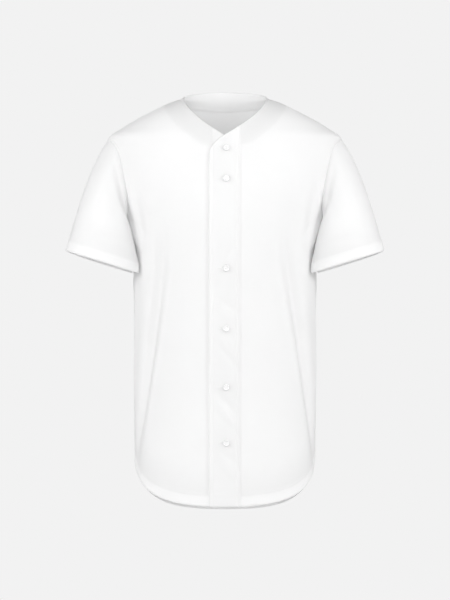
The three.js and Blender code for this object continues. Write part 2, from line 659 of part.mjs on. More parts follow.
// A placket: a strip from one x to another, its top cut by the neckline, with the rows of the front panel beside it
function placket(name, { side, fromX, toX, low, high }, material) {
  const heights = frontRows.slice(0, frontNeckRow + 1).map((row) => row.innerZ);
  const cloth = heights.map((height) =>
    Array.from({ length: PLACKET_COLUMNS + 1 }, (_, c) => {
      const x = lerp(fromX, toX, c / PLACKET_COLUMNS);
      const rise = frontHem(Math.abs(placeOf(x, FRONT_HEM_Z))) - FRONT_HEM_Z;
      const share = (height - PLACKET_LEVEL_Z) / (PLACKET_TOP_Z - PLACKET_LEVEL_Z);
      const level = height + (rise * (PLACKET_LEVEL_Z - height)) / (PLACKET_LEVEL_Z - FRONT_HEM_Z);
      const z = share > 0 ? lerp(PLACKET_LEVEL_Z, neckHeight(side * x), share) : level;
      const q = placeOf(x, z);
      return { point: skin(q, z), out: outward(skin, q, z), mitre: 1 };
    }),
  );
  const [seam, beside] = side > 0 ? [PLACKET_COLUMNS, PLACKET_COLUMNS - 1] : [0, 1];
  trim(columnOf(cloth, seam), columnOf(cloth, beside));
  const solid = new Solid();
  addWall(solid, moved(cloth, high), moved(cloth, low), 1);
  return solid.mesh(name, material);
}

// A button with a dished face, seated on the upper placket
function button(name, z, material) {
  const { x, radius, rim, dish, dishRadius, edge, sides } = BUTTON;
  const profile = [
    [0, 0],
    [radius - edge, 0],
    [radius, edge],
    [radius, rim - edge],
    [radius - edge, rim],
    [dishRadius + edge, rim],
    [dishRadius, dish],
    [0, dish],
  ].map(([r, h]) => new THREE.Vector2(r, h));
  const made = new THREE.Mesh(new THREE.LatheGeometry(profile, sides), material);
  const q = placeOf(x, z);
  const out = outward(skin, q, z);
  made.name = name;
  made.position.copy(skin(q, z).addScaledVector(out, LAYER_GAP + PLACKET_CLOTH + SEAM_GAP));
  made.quaternion.setFromUnitVectors(new THREE.Vector3(0, 1, 0), out);
  return made;
}

const white = new THREE.MeshStandardMaterial({ color: "#f8f8f8", roughness: 0.85, metalness: 0 });
const facingWhite = new THREE.MeshStandardMaterial({ color: "#eeeeee", roughness: 0.9, metalness: 0 });
const buttonWhite = new THREE.MeshStandardMaterial({ color: "#f4f4f2", roughness: 0.35, metalness: 0 });

const left = bodySide(1);
const right = bodySide(-1);
const jersey = new THREE.Group();
jersey.add(sleeve("sleeve_left", left.sleeveGrid, white));
jersey.add(sleeve("sleeve_right", right.sleeveGrid, white));
[left, right].forEach(({ front, back }) => {
  trimPanel(front, frontNeckRow, true);
  trimPanel(back, backNeckRow, false);
});
jersey.add(frontPanel("front_left", left, white));
jersey.add(frontPanel("front_right", right, white));
jersey.add(backPanel("back", [left, right], white));
jersey.add(
  placket(
    "placket_upper",
    { side: 1, fromX: -PLACKET_HALF, toX: PLACKET_HALF, low: LAYER_GAP, high: LAYER_GAP + PLACKET_CLOTH },
    white,
  ),
);
jersey.add(
  placket(
    "placket_under",
    { side: -1, fromX: -UNDER_SEAM_X, toX: PLACKET_HALF, low: -PLACKET_CLOTH, high: 0 },
    white,
  ),
);
const leftFacing = facingPlaces(neckFrom(PLACKET_HALF), FACING_ROWS);
const rightFacing = facingPlaces(neckFrom(UNDER_SEAM_X), FACING_ROWS);
const halfBackFacing = facingPlaces(backNeck, FACING_ROWS);
jersey.add(facing("facing_left", [{ grid: leftFacing, side: 1, turned: 1 }], facingWhite));
jersey.add(facing("facing_right", [{ grid: rightFacing, side: -1, turned: -1 }], facingWhite));
jersey.add(
  facing(
    "facing_back",
    [1, -1].map((side) => ({ grid: halfBackFacing, side, turned: -side, joinedBelow: true })),
    facingWhite,
  ),
);
BUTTON_HEIGHTS.forEach((z, i) => jersey.add(button(`button_${i + 1}`, z, buttonWhite)));

export default jersey;
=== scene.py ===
import bpy
import numpy as np
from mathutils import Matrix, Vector


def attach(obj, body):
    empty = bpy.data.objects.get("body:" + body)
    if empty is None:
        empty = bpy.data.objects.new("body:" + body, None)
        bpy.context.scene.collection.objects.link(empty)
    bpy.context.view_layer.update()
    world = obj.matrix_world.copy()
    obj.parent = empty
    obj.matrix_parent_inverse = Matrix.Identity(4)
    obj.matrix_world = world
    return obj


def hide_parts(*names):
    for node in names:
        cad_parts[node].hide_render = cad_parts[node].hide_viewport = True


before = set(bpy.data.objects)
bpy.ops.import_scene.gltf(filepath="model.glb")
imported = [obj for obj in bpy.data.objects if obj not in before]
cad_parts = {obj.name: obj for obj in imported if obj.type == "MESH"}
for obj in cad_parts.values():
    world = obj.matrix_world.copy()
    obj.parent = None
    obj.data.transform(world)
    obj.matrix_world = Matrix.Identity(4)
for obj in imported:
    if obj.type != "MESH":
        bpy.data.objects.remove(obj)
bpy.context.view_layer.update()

# Driving sizes, in millimetres
CLOTH = 0.8
FACING_CLOTH = 0.7
PLACKET_CLOTH = 1.7
PLACKET_TOP_SIDE = 2.8  # outer side of the upper placket above the body's form
LIFT = 2.1  # height of the left front beside the placket
LIFT_RUN = 45
FACING_DEPTH = 1.4  # outer side of the neck facing below the body's form
BUTTON_SEAT = 3.2
HEM_TURN = 20
TURN_STEP = 2
STEP_TOP = HEM_TURN + TURN_STEP
SLEEVE_TURN = 19
PLACKET_HALF = 28.5
PLACKET_LEVEL_Z = -200
UNDER_SEAM_X = 24
QUARTER_ARC = 262
FACING_WIDTH = 40
FACING_LIP = {"rise": 0.63, "run": 5}  # rise of its upper edge towards the panel
FACING_FOLD = {"rise": 0.25, "from_edge": 2, "width": 1.5}  # swell of its turned-in lower edge
FRONT_HEM_Z = -765
BACK_HEM_Z = -793
SIDE_HEM_Z = -687
UNDERARM_Z = -240
PLACKET_TOP_Z = -60.5
BACK_NECK_Z = 17
FRONT_HEM_BELLY = 13
BACK_HEM_BELLY = 15
VENT_ROUNDING = 0.035

# Horizontal rings of the body
RING_COLUMNS = ("z", "half_width", "side_y", "front_y", "back_y", "square")
RINGS = [
    (-840, 168, 6, -116, 125, 0.62),
    (-765, 169.5, 6, -118, 123, 0.62),
    (-680, 171.5, 6, -122, 120, 0.62),
    (-560, 172.5, 6, -127, 118, 0.62),
    (-440, 173.5, 6, -132, 117, 0.62),
    (-355, 174.3, 6, -136, 120, 0.62),
    (-330, 173.9, 6, -137.5, 121, 0.62),
    (-300, 175.6, 5, -138.5, 122.5, 0.62),
    (-274, 179, 5, -139.2, 123.5, 0.62),
    (-255, 182.3, 5, -139.5, 124.5, 0.62),
    (-240, 185.5, 5, -139.5, 125, 0.62),
    (-222, 191, 5, -138.5, 126, 0.61),
    (-175, 205, 4, -133, 126, 0.6),
    (-127, 217, 4, -121, 122, 0.59),
    (-99, 222, 4, -112, 116, 0.58),
    (-77, 221, 4, -103, 110, 0.57),
    (-58, 196, 4, -94, 103, 0.56),
    (-41, 168, 4, -84, 97, 0.56),
    (-27, 141, 4, -73, 91, 0.56),
    (-11, 109, 5, -54, 83, 0.56),
    (2, 79, 5, -24, 76, 0.56),
    (20, 76, 5, -24, 68, 0.56),
]

# Lines on the body, as ring place (0 front centre, 1 side, 2 back centre) and height
ARMHOLE_BELOW = [(1, UNDERARM_Z), (0.9, -236), (0.82, -227), (0.765, -213), (0.72, -190)]
ARMHOLE_BESIDE = [(0.7, -160), (0.7, -130), (0.715, -108)]
ARMHOLE_ABOVE = [(0.76, -95), (0.84, -86), (0.93, -80), (1, -77)]
BACK_NECK = [(2, BACK_NECK_Z), (1.7, 15), (1.4, 10), (1.16, 5), (1, 2)]

# The front neckline as seen from the front, as x and height
NECKLINE = [
    (-PLACKET_HALF, -119),
    (-27.2, -109),
    (-22.5, -99),
    (-14, -89.5),
    (-3, -81),
    (14, -70.5),
    (PLACKET_HALF, PLACKET_TOP_Z),
    (44, -49),
    (58, -36.5),
    (71.5, -20),
    (77.3, -7),
    (79, 2),
]

# Rows of half a panel: steps, height at the middle and at the side seam, shares of the neckline and
# armhole passed, how much the row follows the hem's curve, and how much it bows down to the armhole
LOWER_ROWS = [
    (0, 0, SIDE_HEM_Z, 0, 0, 1, 0),
    (1, HEM_TURN, SIDE_HEM_Z + HEM_TURN, 0, 0, 1, 0),
    (1, STEP_TOP, SIDE_HEM_Z + STEP_TOP, 0, 0, 1, 0),
]
MIDDLE_ROWS = [
    (6, -505, -470, 0, 0, 0.35, 0),
    (5, -290, -300, 0, 0, 0.05, 0.4),
    (3, -200, UNDERARM_Z, 0, 0, 0, 1),
]
FRONT_TOP_ROWS = [
    (7, PLACKET_TOP_Z, UNDERARM_Z, 0, 0.42, 0, 0.3),
    (7, PLACKET_TOP_Z, UNDERARM_Z, 1, 1, 0, 0),
]
BACK_TOP_ROWS = [
    (8, BACK_NECK_Z, UNDERARM_Z, 0, 0.6, 0, 0.2),
    (5, BACK_NECK_Z, UNDERARM_Z, 1, 1, 0, 0),
]
INNER_Z, OUTER_Z, NECK, ARM, HEM_CURVE, BOW = range(6)
ROW_FINENESS = 7
PANEL_COLUMNS = 72
PLACKET_COLUMNS = 48
FACING_COLUMNS = 16
FACING_ROWS = 60

# Folds and creases of the body, as three places (q and height), then width and depth. A negative
# depth is a ridge, such as the cloth that bunches beside the armpits.
FOLDS = [
    (-0.43, -235, -0.47, -430, -0.86, -690, 17, 6.5),
    (0.39, -228, 0.5, -400, 0.9, -700, 17, 6.5),
    (-0.6, -150, -0.62, -210, -0.68, -330, 15, 4),
    (0.6, -150, 0.62, -205, 0.68, -320, 15, 4),
    (-0.93, -350, -0.97, -470, -1.06, -640, 15, 3.5),
    (0.94, -360, 1, -480, 1.08, -650, 15, 3.5),
    (-1.55, -210, -1.52, -420, -1.2, -690, 19, 6),
    (1.57, -220, 1.5, -400, 1.17, -680, 19, 6),
    (-1.82, -330, -1.8, -500, -1.72, -740, 22, 4),
    (1.86, -300, 1.83, -480, 1.76, -750, 22, 4),
]
CREASES = [
    (-0.42, -225, -0.46, -430, -0.88, -700, 14, 6),
    (0.38, -222, 0.49, -400, 0.92, -710, 14, 6),
    (-0.6, -430, -0.7, -560, -0.86, -705, 22, 4.5),
    (0.62, -430, 0.74, -560, 0.9, -710, 22, 4.5),
    (-0.8, -206, -0.768, -248, -0.72, -296, 6.2, -6.2),
    (0.8, -206, 0.768, -248, 0.72, -296, 6.2, -6.2),
    (-0.36, -260, -0.38, -430, -0.72, -690, 9, -1.6),
    (0.31, -250, 0.4, -400, 0.76, -690, 9, -1.6),
    (-0.82, -320, -0.83, -470, -0.96, -650, 9, -2.2),
    (0.82, -320, 0.85, -480, 0.97, -650, 9, -2.2),
    (0.055, -283, 0.03, -297, -0.01, -316, 4.5, 1.1),
    (-0.06, -378, 0.02, -396, 0.095, -410, 6, 1.5),
    (-0.06, -392, 0.02, -411, 0.095, -428, 5, -0.8),
    (-0.06, -440, 0.02, -468, 0.1, -505, 7, -1.7),
    (-0.05, -462, 0.03, -492, 0.1, -522, 6, 1.2),
    (-0.06, -552, 0.01, -574, 0.09, -602, 6, 1.4),
    (-0.06, -570, 0.02, -597, 0.1, -628, 6.5, -1.6),
    (-0.05, -655, 0.02, -672, 0.1, -700, 6, 1.1),
    (-0.05, -678, 0.02, -694, 0.09, -720, 5, -0.8),
    (-0.16, -640, -0.2, -690, -0.3, -735, 13, 1.4),
    (0.18, -650, 0.24, -695, 0.33, -730, 13, 1.3),
    (0.73, -232, 0.62, -262, 0.5, -272, 8, 1.2),
    (-0.74, -233, -0.64, -258, -0.53, -266, 8, 1.1),
    (1.3, -236, 1.42, -262, 1.56, -270, 9, 1.3),
    (-1.28, -236, -1.4, -266, -1.55, -276, 9, 1.2),
    (1.35, -80, 1.5, -96, 1.66, -100, 14, 1.4),
    (-1.33, -82, -1.5, -94, -1.68, -99, 14, 1.3),
]
FOLD_STEPS = 10
FOLD_REACH = 3.2  # widths beyond which a fold is level

# The sleeve's hem ring and its ribs. Places w round the arm are 0 at its top, 0.25 in front and 0.5
# below. A rib's row has the direction and the distance in which it leaves the armhole, and those in
# which it reaches the hem.
SLEEVE_CENTRE = np.array([238.5, -8, -309.5])
SLEEVE_ACROSS = np.array([0.955, 0, 0.297])
SLEEVE_HALF_ACROSS = 66
SLEEVE_HALF_DEEP = 74
INNER_SQUARE = 0.6
OUTER_SQUARE = 0.9
DEEP_SQUARE = 0.8
SLEEVE_DOWN = np.array([0.25, 0, -0.97])
BACK_LOWER = 4  # how far the back of the sleeve's hem hangs below its front
FRONT_CORNER = 38  # how far the ring's corners beside the body are drawn towards it
BACK_CORNER = 12
TOP_RIB = ((0.59, 0, -0.8), 60, (0.27, 0, -0.963), 80)
FRONT_RIBS = [
    ((0.5, -0.24, -0.83), 52, (0.27, 0, -0.963), 62),
    ((0.33, -0.3, -0.9), 44, (0.25, 0, -0.97), 45),
    ((0.2, -0.6, -0.77), 20, (0.16, 0, -0.98), 35),
]
UNDER_RIB = ((0.9, 0, -0.43), 4, (0.02, 0, -1), 30)
BACK_RIBS = [((x, -y, z), *rest) for (x, y, z), *rest in FRONT_RIBS[::-1]]
SLEEVE_RIBS = [TOP_RIB, *FRONT_RIBS, UNDER_RIB, *BACK_RIBS]
RIB_SAMPLES = 200
SLEEVE_STEPS = 56
SLEEVE_CROWDING = 1.15  # above 1, the rings lie closer together beside the armhole
SLEEVE_HEM_STEPS = 7
SHARED_REACH = 6  # how far down the sleeve the directions that it shares with the panels are felt
SLEEVE_FOLD = {"from_seam": 20, "width": 9, "depth": 3.2, "places": (0.27, 0.73), "reach": 0.14}

# Creases of the sleeves: share round the arm and share from armhole to hem at both ends, then width
# and depth
SLEEVE_GIRTH = 470
SLEEVE_REACH = 200
SLEEVE_CREASES = [
    (0.3, 0.62, 0.17, 0.86, 11, 1.6),
    (0.4, 0.5, 0.33, 0.9, 9, 1.2),
    (0.12, 0.2, 0.2, 0.66, 14, 1.0),
    (0.7, 0.6, 0.82, 0.85, 11, 1.5),
    (0.6, 0.5, 0.68, 0.9, 9, 1.2),
]

# Buttons and buttonholes on the placket
BUTTON_X = 2.5
BUTTON_HEIGHTS = (-104, -161, -325, -436, -544, -647)
BUTTONHOLE = {"from_x": -12.5, "to_x": 5, "bar": 1.2, "slot": 0.35, "pitch": 0.45}
TACK_BESIDE = (0.2, 0.6)
TACK_HEIGHTS = (-1.4, -0.7, 0, 0.7, 1.4)
HOLE_STITCH = {"length": BUTTONHOLE["bar"], "width": 0.42, "height": 0.4}

CURVE_SAMPLES = 400
SEARCH_STEPS = 40
FORM_STEP_Q = 0.004
FORM_STEP_Z = 0.6
DOWN_STEP = 0.25
WELD = 0.01
WELD_SHIFT = 0.31  # keeps points in the plane of symmetry away from the edge of a welding cell
UV_SHIFT = 0.37
EDGE_BULGE = 0.45  # of the cloth's thickness
MM = 0.001


def lerp(a, b, t):
    return a + (b - a) * t


def smoothstep(t):
    c = np.clip(t, 0, 1)
    return c * c * (3 - 2 * c)


def unit(v):
    return v / np.maximum(np.linalg.norm(v, axis=-1, keepdims=True), 1e-9)


def bell(distance, width):
    return np.exp(-((distance / width) ** 2))


def signed_power(v, power):
    return np.sign(v) * np.abs(v) ** power


def points_at(at, measure, points):
    """Points of a line at some values of a measure that rises along it."""
    return np.stack([np.interp(at, measure, points[:, axis]) for axis in range(3)], axis=-1)


def lengths(points, axis):
    """Length passed at each point of a grid, along its rows (axis 1) or up its columns (axis 0)."""
    steps = np.linalg.norm(np.diff(points, axis=axis), axis=2)
    start = np.zeros_like(steps.take([0], axis=axis))
    return np.concatenate([start, np.cumsum(steps, axis=axis)], axis=axis)


# The body's form
def ring_column(name):
    """One column of RINGS as a smooth function of height that never overshoots its rows."""
    heights = np.array([row[0] for row in RINGS], float)
    values = np.array([row[RING_COLUMNS.index(name)] for row in RINGS], float)
    chords = np.diff(values) / np.diff(heights)
    slopes = np.concatenate([chords[:1], np.zeros(len(chords) - 1), chords[-1:]])
    for i in range(1, len(chords)):
        before, after = chords[i - 1], chords[i]
        if before * after > 0:
            slopes[i] = 2 * before * after / (before + after)

    def read(z):
        inside = np.clip(z, heights[0], heights[-1])
        i = np.clip(np.searchsorted(heights, inside) - 1, 0, len(heights) - 2)
        span = heights[i + 1] - heights[i]
        t = (inside - heights[i]) / span
        rise = 3 * t * t - 2 * t**3
        bend = t * (1 - t) ** 2 * slopes[i] - t * t * (1 - t) * slopes[i + 1]
        return lerp(values[i], values[i + 1], rise) + span * bend

    return read


RING = {name: ring_column(name) for name in RING_COLUMNS[1:]}


def width_share(t, square):
    """Share of a quarter ring's width that is reached at t, and of its depth at 1 - t."""
    return 3 * square * t * (1 - t) ** 2 + 3 * t * t * (1 - t) + t**3


def bare(q, z):
    """The bare form at ring place q and height z."""
    turned = np.mod(q + 2, 4) - 2
    size = np.abs(turned)
    t = np.where(size <= 1, size, 2 - size)
    square = RING["square"](z)
    side = RING["side_y"](z)
    far = np.where(size <= 1, RING["front_y"](z), RING["back_y"](z))
    x = np.sign(turned) * RING["half_width"](z) * width_share(t, square)
    y = side + (far - side) * width_share(1 - t, square)
    return np.stack(np.broadcast_arrays(x, y, z), axis=-1)


def outward(surface, q, z):
    along = surface(q + FORM_STEP_Q, z) - surface(q - FORM_STEP_Q, z)
    up = surface(q, z + FORM_STEP_Z) - surface(q, z - FORM_STEP_Z)
    return unit(np.cross(along, up))


def fold_height(q, z, fold):
    """One fold's height over the form, from its curve's nearest point. Here q is a length round the ring."""
    q0, z0, q1, z1, q2, z2, width, depth = fold
    t = np.linspace(0, 1, FOLD_STEPS + 1)
    curve_q = QUARTER_ARC * ((1 - t) ** 2 * q0 + 2 * t * (1 - t) * q1 + t * t * q2)
    curve_z = (1 - t) ** 2 * z0 + 2 * t * (1 - t) * z1 + t * t * z2
    nearest = np.full(np.shape(q), np.inf)
    share = np.zeros(np.shape(q))
    for i in range(FOLD_STEPS):
        run_q, run_z = curve_q[i + 1] - curve_q[i], curve_z[i + 1] - curve_z[i]
        along = ((q - curve_q[i]) * run_q + (z - curve_z[i]) * run_z) / (run_q**2 + run_z**2)
        along = np.clip(along, 0, 1)
        distance = np.hypot(q - curve_q[i] - along * run_q, z - curve_z[i] - along * run_z)
        closer = distance < nearest
        nearest = np.where(closer, distance, nearest)
        share = np.where(closer, (i + along) / FOLD_STEPS, share)
    return -depth * np.sin(np.pi * share) * bell(nearest, width)


def relief(place, z):
    """Height of all folds and creases over the form. Each is worked out only where it reaches."""
    height = np.zeros(np.shape(place))
    for fold in FOLDS + CREASES:
        q = (place + 4 * np.round((fold[2] - place) / 4)) * QUARTER_ARC
        reach = FOLD_REACH * fold[6]
        low_q, high_q = min(fold[0:6:2]) * QUARTER_ARC - reach, max(fold[0:6:2]) * QUARTER_ARC + reach
        low_z, high_z = min(fold[1:6:2]) - reach, max(fold[1:6:2]) + reach
        near = (q > low_q) & (q < high_q) & (z > low_z) & (z < high_z)
        height[near] += fold_height(q[near], z[near], fold)
    return height


def skin(q, z):
    """The cloth's surface: the bare form with its folds and creases."""
    q, z = np.broadcast_arrays(np.asarray(q, float), np.asarray(z, float))
    return bare(q, z) + outward(bare, q, z) * relief(q, z)[..., None]


def place_of(x, z):
    """Ring place of a point that is seen at x from the front, at height z."""
    x, z = np.broadcast_arrays(np.asarray(x, float), np.asarray(z, float))
    share = np.abs(x) / RING["half_width"](z)
    low, high = np.zeros(x.shape), np.ones(x.shape)
    for _ in range(SEARCH_STEPS):
        middle = (low + high) / 2
        under = width_share(middle, RING["square"](z)) < share
        low = np.where(under, middle, low)
        high = np.where(under, high, middle)
    return np.sign(x) * (low + high) / 2


# Lines on the form
def smooth_line(places):
    """A centripetal curve through flat places, as evenly numbered points."""
    p = np.array(places, float)
    last = len(p) - 1
    ends = np.vstack([2 * p[0] - p[1], p, 2 * p[-1] - p[-2]])
    at = np.linspace(0, last, CURVE_SAMPLES + 1)
    i = np.minimum(at.astype(int), last - 1)
    t = (at - i)[:, None]
    a, b, c, d = (ends[i + k] for k in range(4))
    ab, bc, cd = (np.linalg.norm(v - u, axis=1, keepdims=True) ** 0.5 for u, v in ((a, b), (b, c), (c, d)))
    start = ((b - a) / ab - (c - a) / (ab + bc) + (c - b) / bc) * bc
    end = ((c - b) / bc - (d - b) / (bc + cd) + (d - c) / cd) * bc
    return b + t * start + t * t * (3 * (c - b) - 2 * start - end) + t**3 * (2 * (b - c) + start + end)


def line_on(places):
    """A smooth line through ring places, read by the share of its real length."""
    flat = smooth_line([(q * QUARTER_ARC, z) for q, z in places])
    q, z = flat[:, 0] / QUARTER_ARC, flat[:, 1]
    steps = np.linalg.norm(np.diff(bare(q, z), axis=0), axis=1)
    passed = np.concatenate([[0], np.cumsum(steps)]) / steps.sum()
    return lambda share: (np.interp(share, passed, q), np.interp(share, passed, z))


neck_curve = smooth_line(NECKLINE)


def neck_height(x):
    return np.interp(x, neck_curve[:, 0], neck_curve[:, 1])


def neck_from(seam_x):
    """The front neckline from a placket's seam up to the shoulder."""
    beyond = [(float(place_of(x, z)), z) for x, z in NECKLINE if x > seam_x + 1]
    beyond[-1] = (1, beyond[-1][1])
    top = float(neck_height(seam_x))
    return line_on([(float(place_of(seam_x, top)), top), *beyond])


back_neck = line_on(BACK_NECK)
armhole = line_on(ARMHOLE_BELOW + ARMHOLE_BESIDE + ARMHOLE_ABOVE)


def hem_height(quarter, middle, belly):
    from_side = np.hypot(1 - quarter, VENT_ROUNDING) - VENT_ROUNDING
    t = 1 - from_side / (np.hypot(1, VENT_ROUNDING) - VENT_ROUNDING)
    flat = (1 - t) ** 3 + 3 * t * (1 - t) ** 2
    return middle * flat + (middle + belly) * 3 * t * t * (1 - t) + SIDE_HEM_Z * t**3


def front_hem(q):
    return hem_height(q, FRONT_HEM_Z, FRONT_HEM_BELLY)


def back_hem(q):
    return hem_height(2 - q, BACK_HEM_Z, BACK_HEM_BELLY)


# Panels
def row_table(hem_z, top_rows):
    """Every row of half a panel, with its steps filled in."""
    lower = [(steps, hem_z + rise, *rest) for steps, rise, *rest in LOWER_ROWS]
    table = lower + MIDDLE_ROWS + top_rows
    rows = [np.array(table[0][1:], float)]
    for before, row in zip(table, table[1:]):
        count = row[0] * ROW_FINENESS
        for k in range(count):
            rows.append(lerp(np.array(before[1:], float), np.array(row[1:], float), (k + 1) / count))
    return np.array(rows)


front_rows = row_table(FRONT_HEM_Z, FRONT_TOP_ROWS)
back_rows = row_table(BACK_HEM_Z, BACK_TOP_ROWS)
underarm_row = int((front_rows[:, ARM] == 0).sum()) - 1
front_neck_row = int((front_rows[:, NECK] == 0).sum()) - 1
back_neck_row = int((back_rows[:, NECK] == 0).sum()) - 1


def crowded(columns, evenly):
    """Shares of a width for columns that lie closer together beside its edges, where the cloth dips."""
    t = np.linspace(0, 1, columns + 1)
    return evenly * t + (1 - evenly) * (1 - np.cos(np.pi * t)) / 2


def chosen(rows, name, line, q, z):
    """Places on a line for the rows that have passed part of it, and q and z for the others."""
    share = rows[:, name]
    line_q, line_z = line(share)
    return np.where(share > 0, line_q, q), np.where(share > 0, line_z, z)


def panel_places(rows, inner, outer, hem):
    inner_q, inner_z = (v[:, None] for v in inner)
    outer_q, outer_z = (v[:, None] for v in outer)
    t = crowded(PANEL_COLUMNS, 0.35)[None, :]
    q = lerp(inner_q, outer_q, t)
    fall = lerp(t, 1 - (1 - t) ** 2, rows[:, BOW, None])
    bulge = hem(q) - lerp(hem(inner_q), hem(outer_q), t)
    return q, lerp(inner_z, outer_z, fall) + rows[:, HEM_CURVE, None] * bulge


def seam_places(rows, seam_x):
    share = (rows[:, INNER_Z] - FRONT_HEM_Z) / (PLACKET_TOP_Z - FRONT_HEM_Z)
    z = lerp(FRONT_HEM_Z, neck_height(seam_x), share)
    return chosen(rows, NECK, neck_from(seam_x), place_of(seam_x, z), z)


def front_places(seam_x):
    outer = chosen(front_rows, ARM, armhole, 1.0, front_rows[:, OUTER_Z])
    return panel_places(front_rows, seam_places(front_rows, seam_x), outer, front_hem)


def back_places():
    inner = chosen(back_rows, NECK, back_neck, 2.0, back_rows[:, INNER_Z])
    q, z = chosen(back_rows, ARM, armhole, 1.0, back_rows[:, OUTER_Z])
    return panel_places(back_rows, inner, (2 - q, z), back_hem)


def drape(places, side):
    q, z = places
    return {"point": skin(side * q, z), "out": outward(skin, side * q, z)}


# Sleeves
def rib_value(values, w):
    """One column of the rib table at w, smooth all the way round."""
    values = np.array(values, float)
    count = len(values)
    i = np.floor(w * count).astype(int)
    t = w * count - i
    if values.ndim > 1:
        t = t[:, None]
    a, b, c, d = (values[(i + k) % count] for k in (-1, 0, 1, 2))
    return b + 0.5 * t * (c - a + t * (2 * a - 5 * b + 4 * c - d + t * (3 * (b - c) + d - a)))


def rib_points(start, w):
    """The ribs' curves from the armhole to the hem, and the length passed at each of their samples."""
    leave, leave_by, reach, reach_by = (rib_value(column, w) for column in zip(*SLEEVE_RIBS))
    angle = 2 * np.pi * w[:, None]
    toward_body = np.cos(angle) < 0
    across = signed_power(np.cos(angle), np.where(toward_body, INNER_SQUARE, OUTER_SQUARE))
    deep = signed_power(np.sin(angle), DEEP_SQUARE)
    reach_to_body = np.where(np.sin(angle) > 0, FRONT_CORNER, BACK_CORNER)
    corner = np.where(toward_body, reach_to_body * np.sin(2 * angle) ** 2 * np.abs(np.sin(angle)), 0)
    end = SLEEVE_CENTRE + SLEEVE_ACROSS * (SLEEVE_HALF_ACROSS * across - corner)
    end = end - np.array([0, SLEEVE_HALF_DEEP, 0]) * deep
    end = end + SLEEVE_DOWN * BACK_LOWER * np.maximum(0, -deep)
    first = start + unit(leave) * leave_by[:, None]
    second = end - unit(reach) * reach_by[:, None]
    t = np.linspace(0, 1, RIB_SAMPLES + 1)[None, :, None]
    a, b, c, d = (p[:, None, :] for p in (start, first, second, end))
    curve = a * (1 - t) ** 3 + b * 3 * t * (1 - t) ** 2 + c * 3 * t * t * (1 - t) + d * t**3
    return curve, lengths(curve, 1)


def sleeve_rings(seam, w):
    """Rings of points from armhole to hem, their distances from the seam, and the ribs' lengths."""
    curves, passed = rib_points(seam, w)
    length = passed[:, -1]
    free = (length - SLEEVE_TURN - TURN_STEP)[:, None]
    body = np.linspace(0, 1, SLEEVE_STEPS + 1) ** SLEEVE_CROWDING * free
    turned = free + (SLEEVE_TURN + TURN_STEP) * (np.arange(SLEEVE_HEM_STEPS) + 1) / SLEEVE_HEM_STEPS
    reached = np.concatenate([body, turned], axis=1)
    rings = np.stack([points_at(*rib) for rib in zip(reached, passed, curves)], axis=1)
    return rings, reached.T, length


def sleeve_relief(place, share, from_seam):
    """Depth of the folds beside the armhole and of the creases."""
    depth = np.zeros(share.shape)
    for middle in SLEEVE_FOLD["places"]:
        beside = bell(from_seam - SLEEVE_FOLD["from_seam"], SLEEVE_FOLD["width"])
        depth += SLEEVE_FOLD["depth"] * beside * bell(place - middle, SLEEVE_FOLD["reach"])
    for w0, s0, w1, s1, width, deep in SLEEVE_CREASES:
        run = np.array([(w1 - w0) * SLEEVE_GIRTH, (s1 - s0) * SLEEVE_REACH])
        here = np.stack([(place - w0) * SLEEVE_GIRTH, (share - s0) * SLEEVE_REACH], axis=-1)
        t = np.clip((here @ run) / (run @ run), 0, 1)
        distance = np.linalg.norm(here - t[..., None] * run, axis=-1)
        depth += deep * np.sin(np.pi * t) * bell(distance, width)
    return depth


def sleeve_cloth(front, back, side):
    """The sleeve from armhole to hem. It shares the armhole's points and directions with the panels."""
    last = PANEL_COLUMNS
    loop = [(front, r) for r in range(len(front["point"]) - 1, underarm_row - 1, -1)]
    loop += [(back, r) for r in range(underarm_row + 1, len(back["point"]) - 1)]
    seam = np.array([panel["point"][r, last] for panel, r in loop])
    seam_out = np.array([panel["out"][r, last] for panel, r in loop])
    mirror = np.array([side, 1, 1])
    w = np.arange(len(loop)) / len(loop)
    rings, from_seam, length = sleeve_rings(seam * mirror, w)
    rings = rings * mirror
    along = np.gradient(rings, axis=0)
    across = np.roll(rings, -1, axis=1) - np.roll(rings, 1, axis=1)
    out = unit(np.cross(across, along)) * side
    share = from_seam / length
    place = np.broadcast_to(w, share.shape)
    rings = rings - out * sleeve_relief(place, share, from_seam)[..., None]
    shared = unit(seam_out + out[0])
    rings[0], out[0] = seam, shared
    blend = bell(from_seam, SHARED_REACH)[..., None]
    out = unit(out * (1 - blend) + shared[None] * blend)
    for k, (panel, r) in enumerate(loop):
        panel["out"][r, last] = shared[k]
    return {"point": rings, "out": out, "from_seam": from_seam, "length": length}


# Meshes
def grid_quads(rows, columns):
    index = np.arange(rows * columns).reshape(rows, columns)
    corners = (index[:-1, :-1], index[:-1, 1:], index[1:, 1:], index[1:, :-1])
    return np.stack(corners, axis=-1).reshape(-1, 4)


def arc_uv(points):
    """Places on the cloth in metres, measured along the columns and rows of a grid."""
    u = lengths(points, 1)
    v = lengths(points, 0).mean(axis=1, keepdims=True)
    return np.stack([u, np.broadcast_to(v, u.shape)], axis=-1) * MM


def mesh_of(name, vertices, faces):
    """A mesh from places in millimetres."""
    mesh = bpy.data.meshes.new(name)
    mesh.from_pydata((np.asarray(vertices) * MM).tolist(), [], faces)
    return mesh


def placed(name, data, place=(0, 0, 0)):
    """An object in the scene that carries a mesh, a light or a camera."""
    obj = bpy.data.objects.new(name, data)
    obj.location = place
    bpy.context.scene.collection.objects.link(obj)
    return obj


def link(name, mesh, material):
    obj = placed(name, mesh)
    mesh.materials.append(material)
    mesh.shade_smooth()
    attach(obj, "root")
    return obj


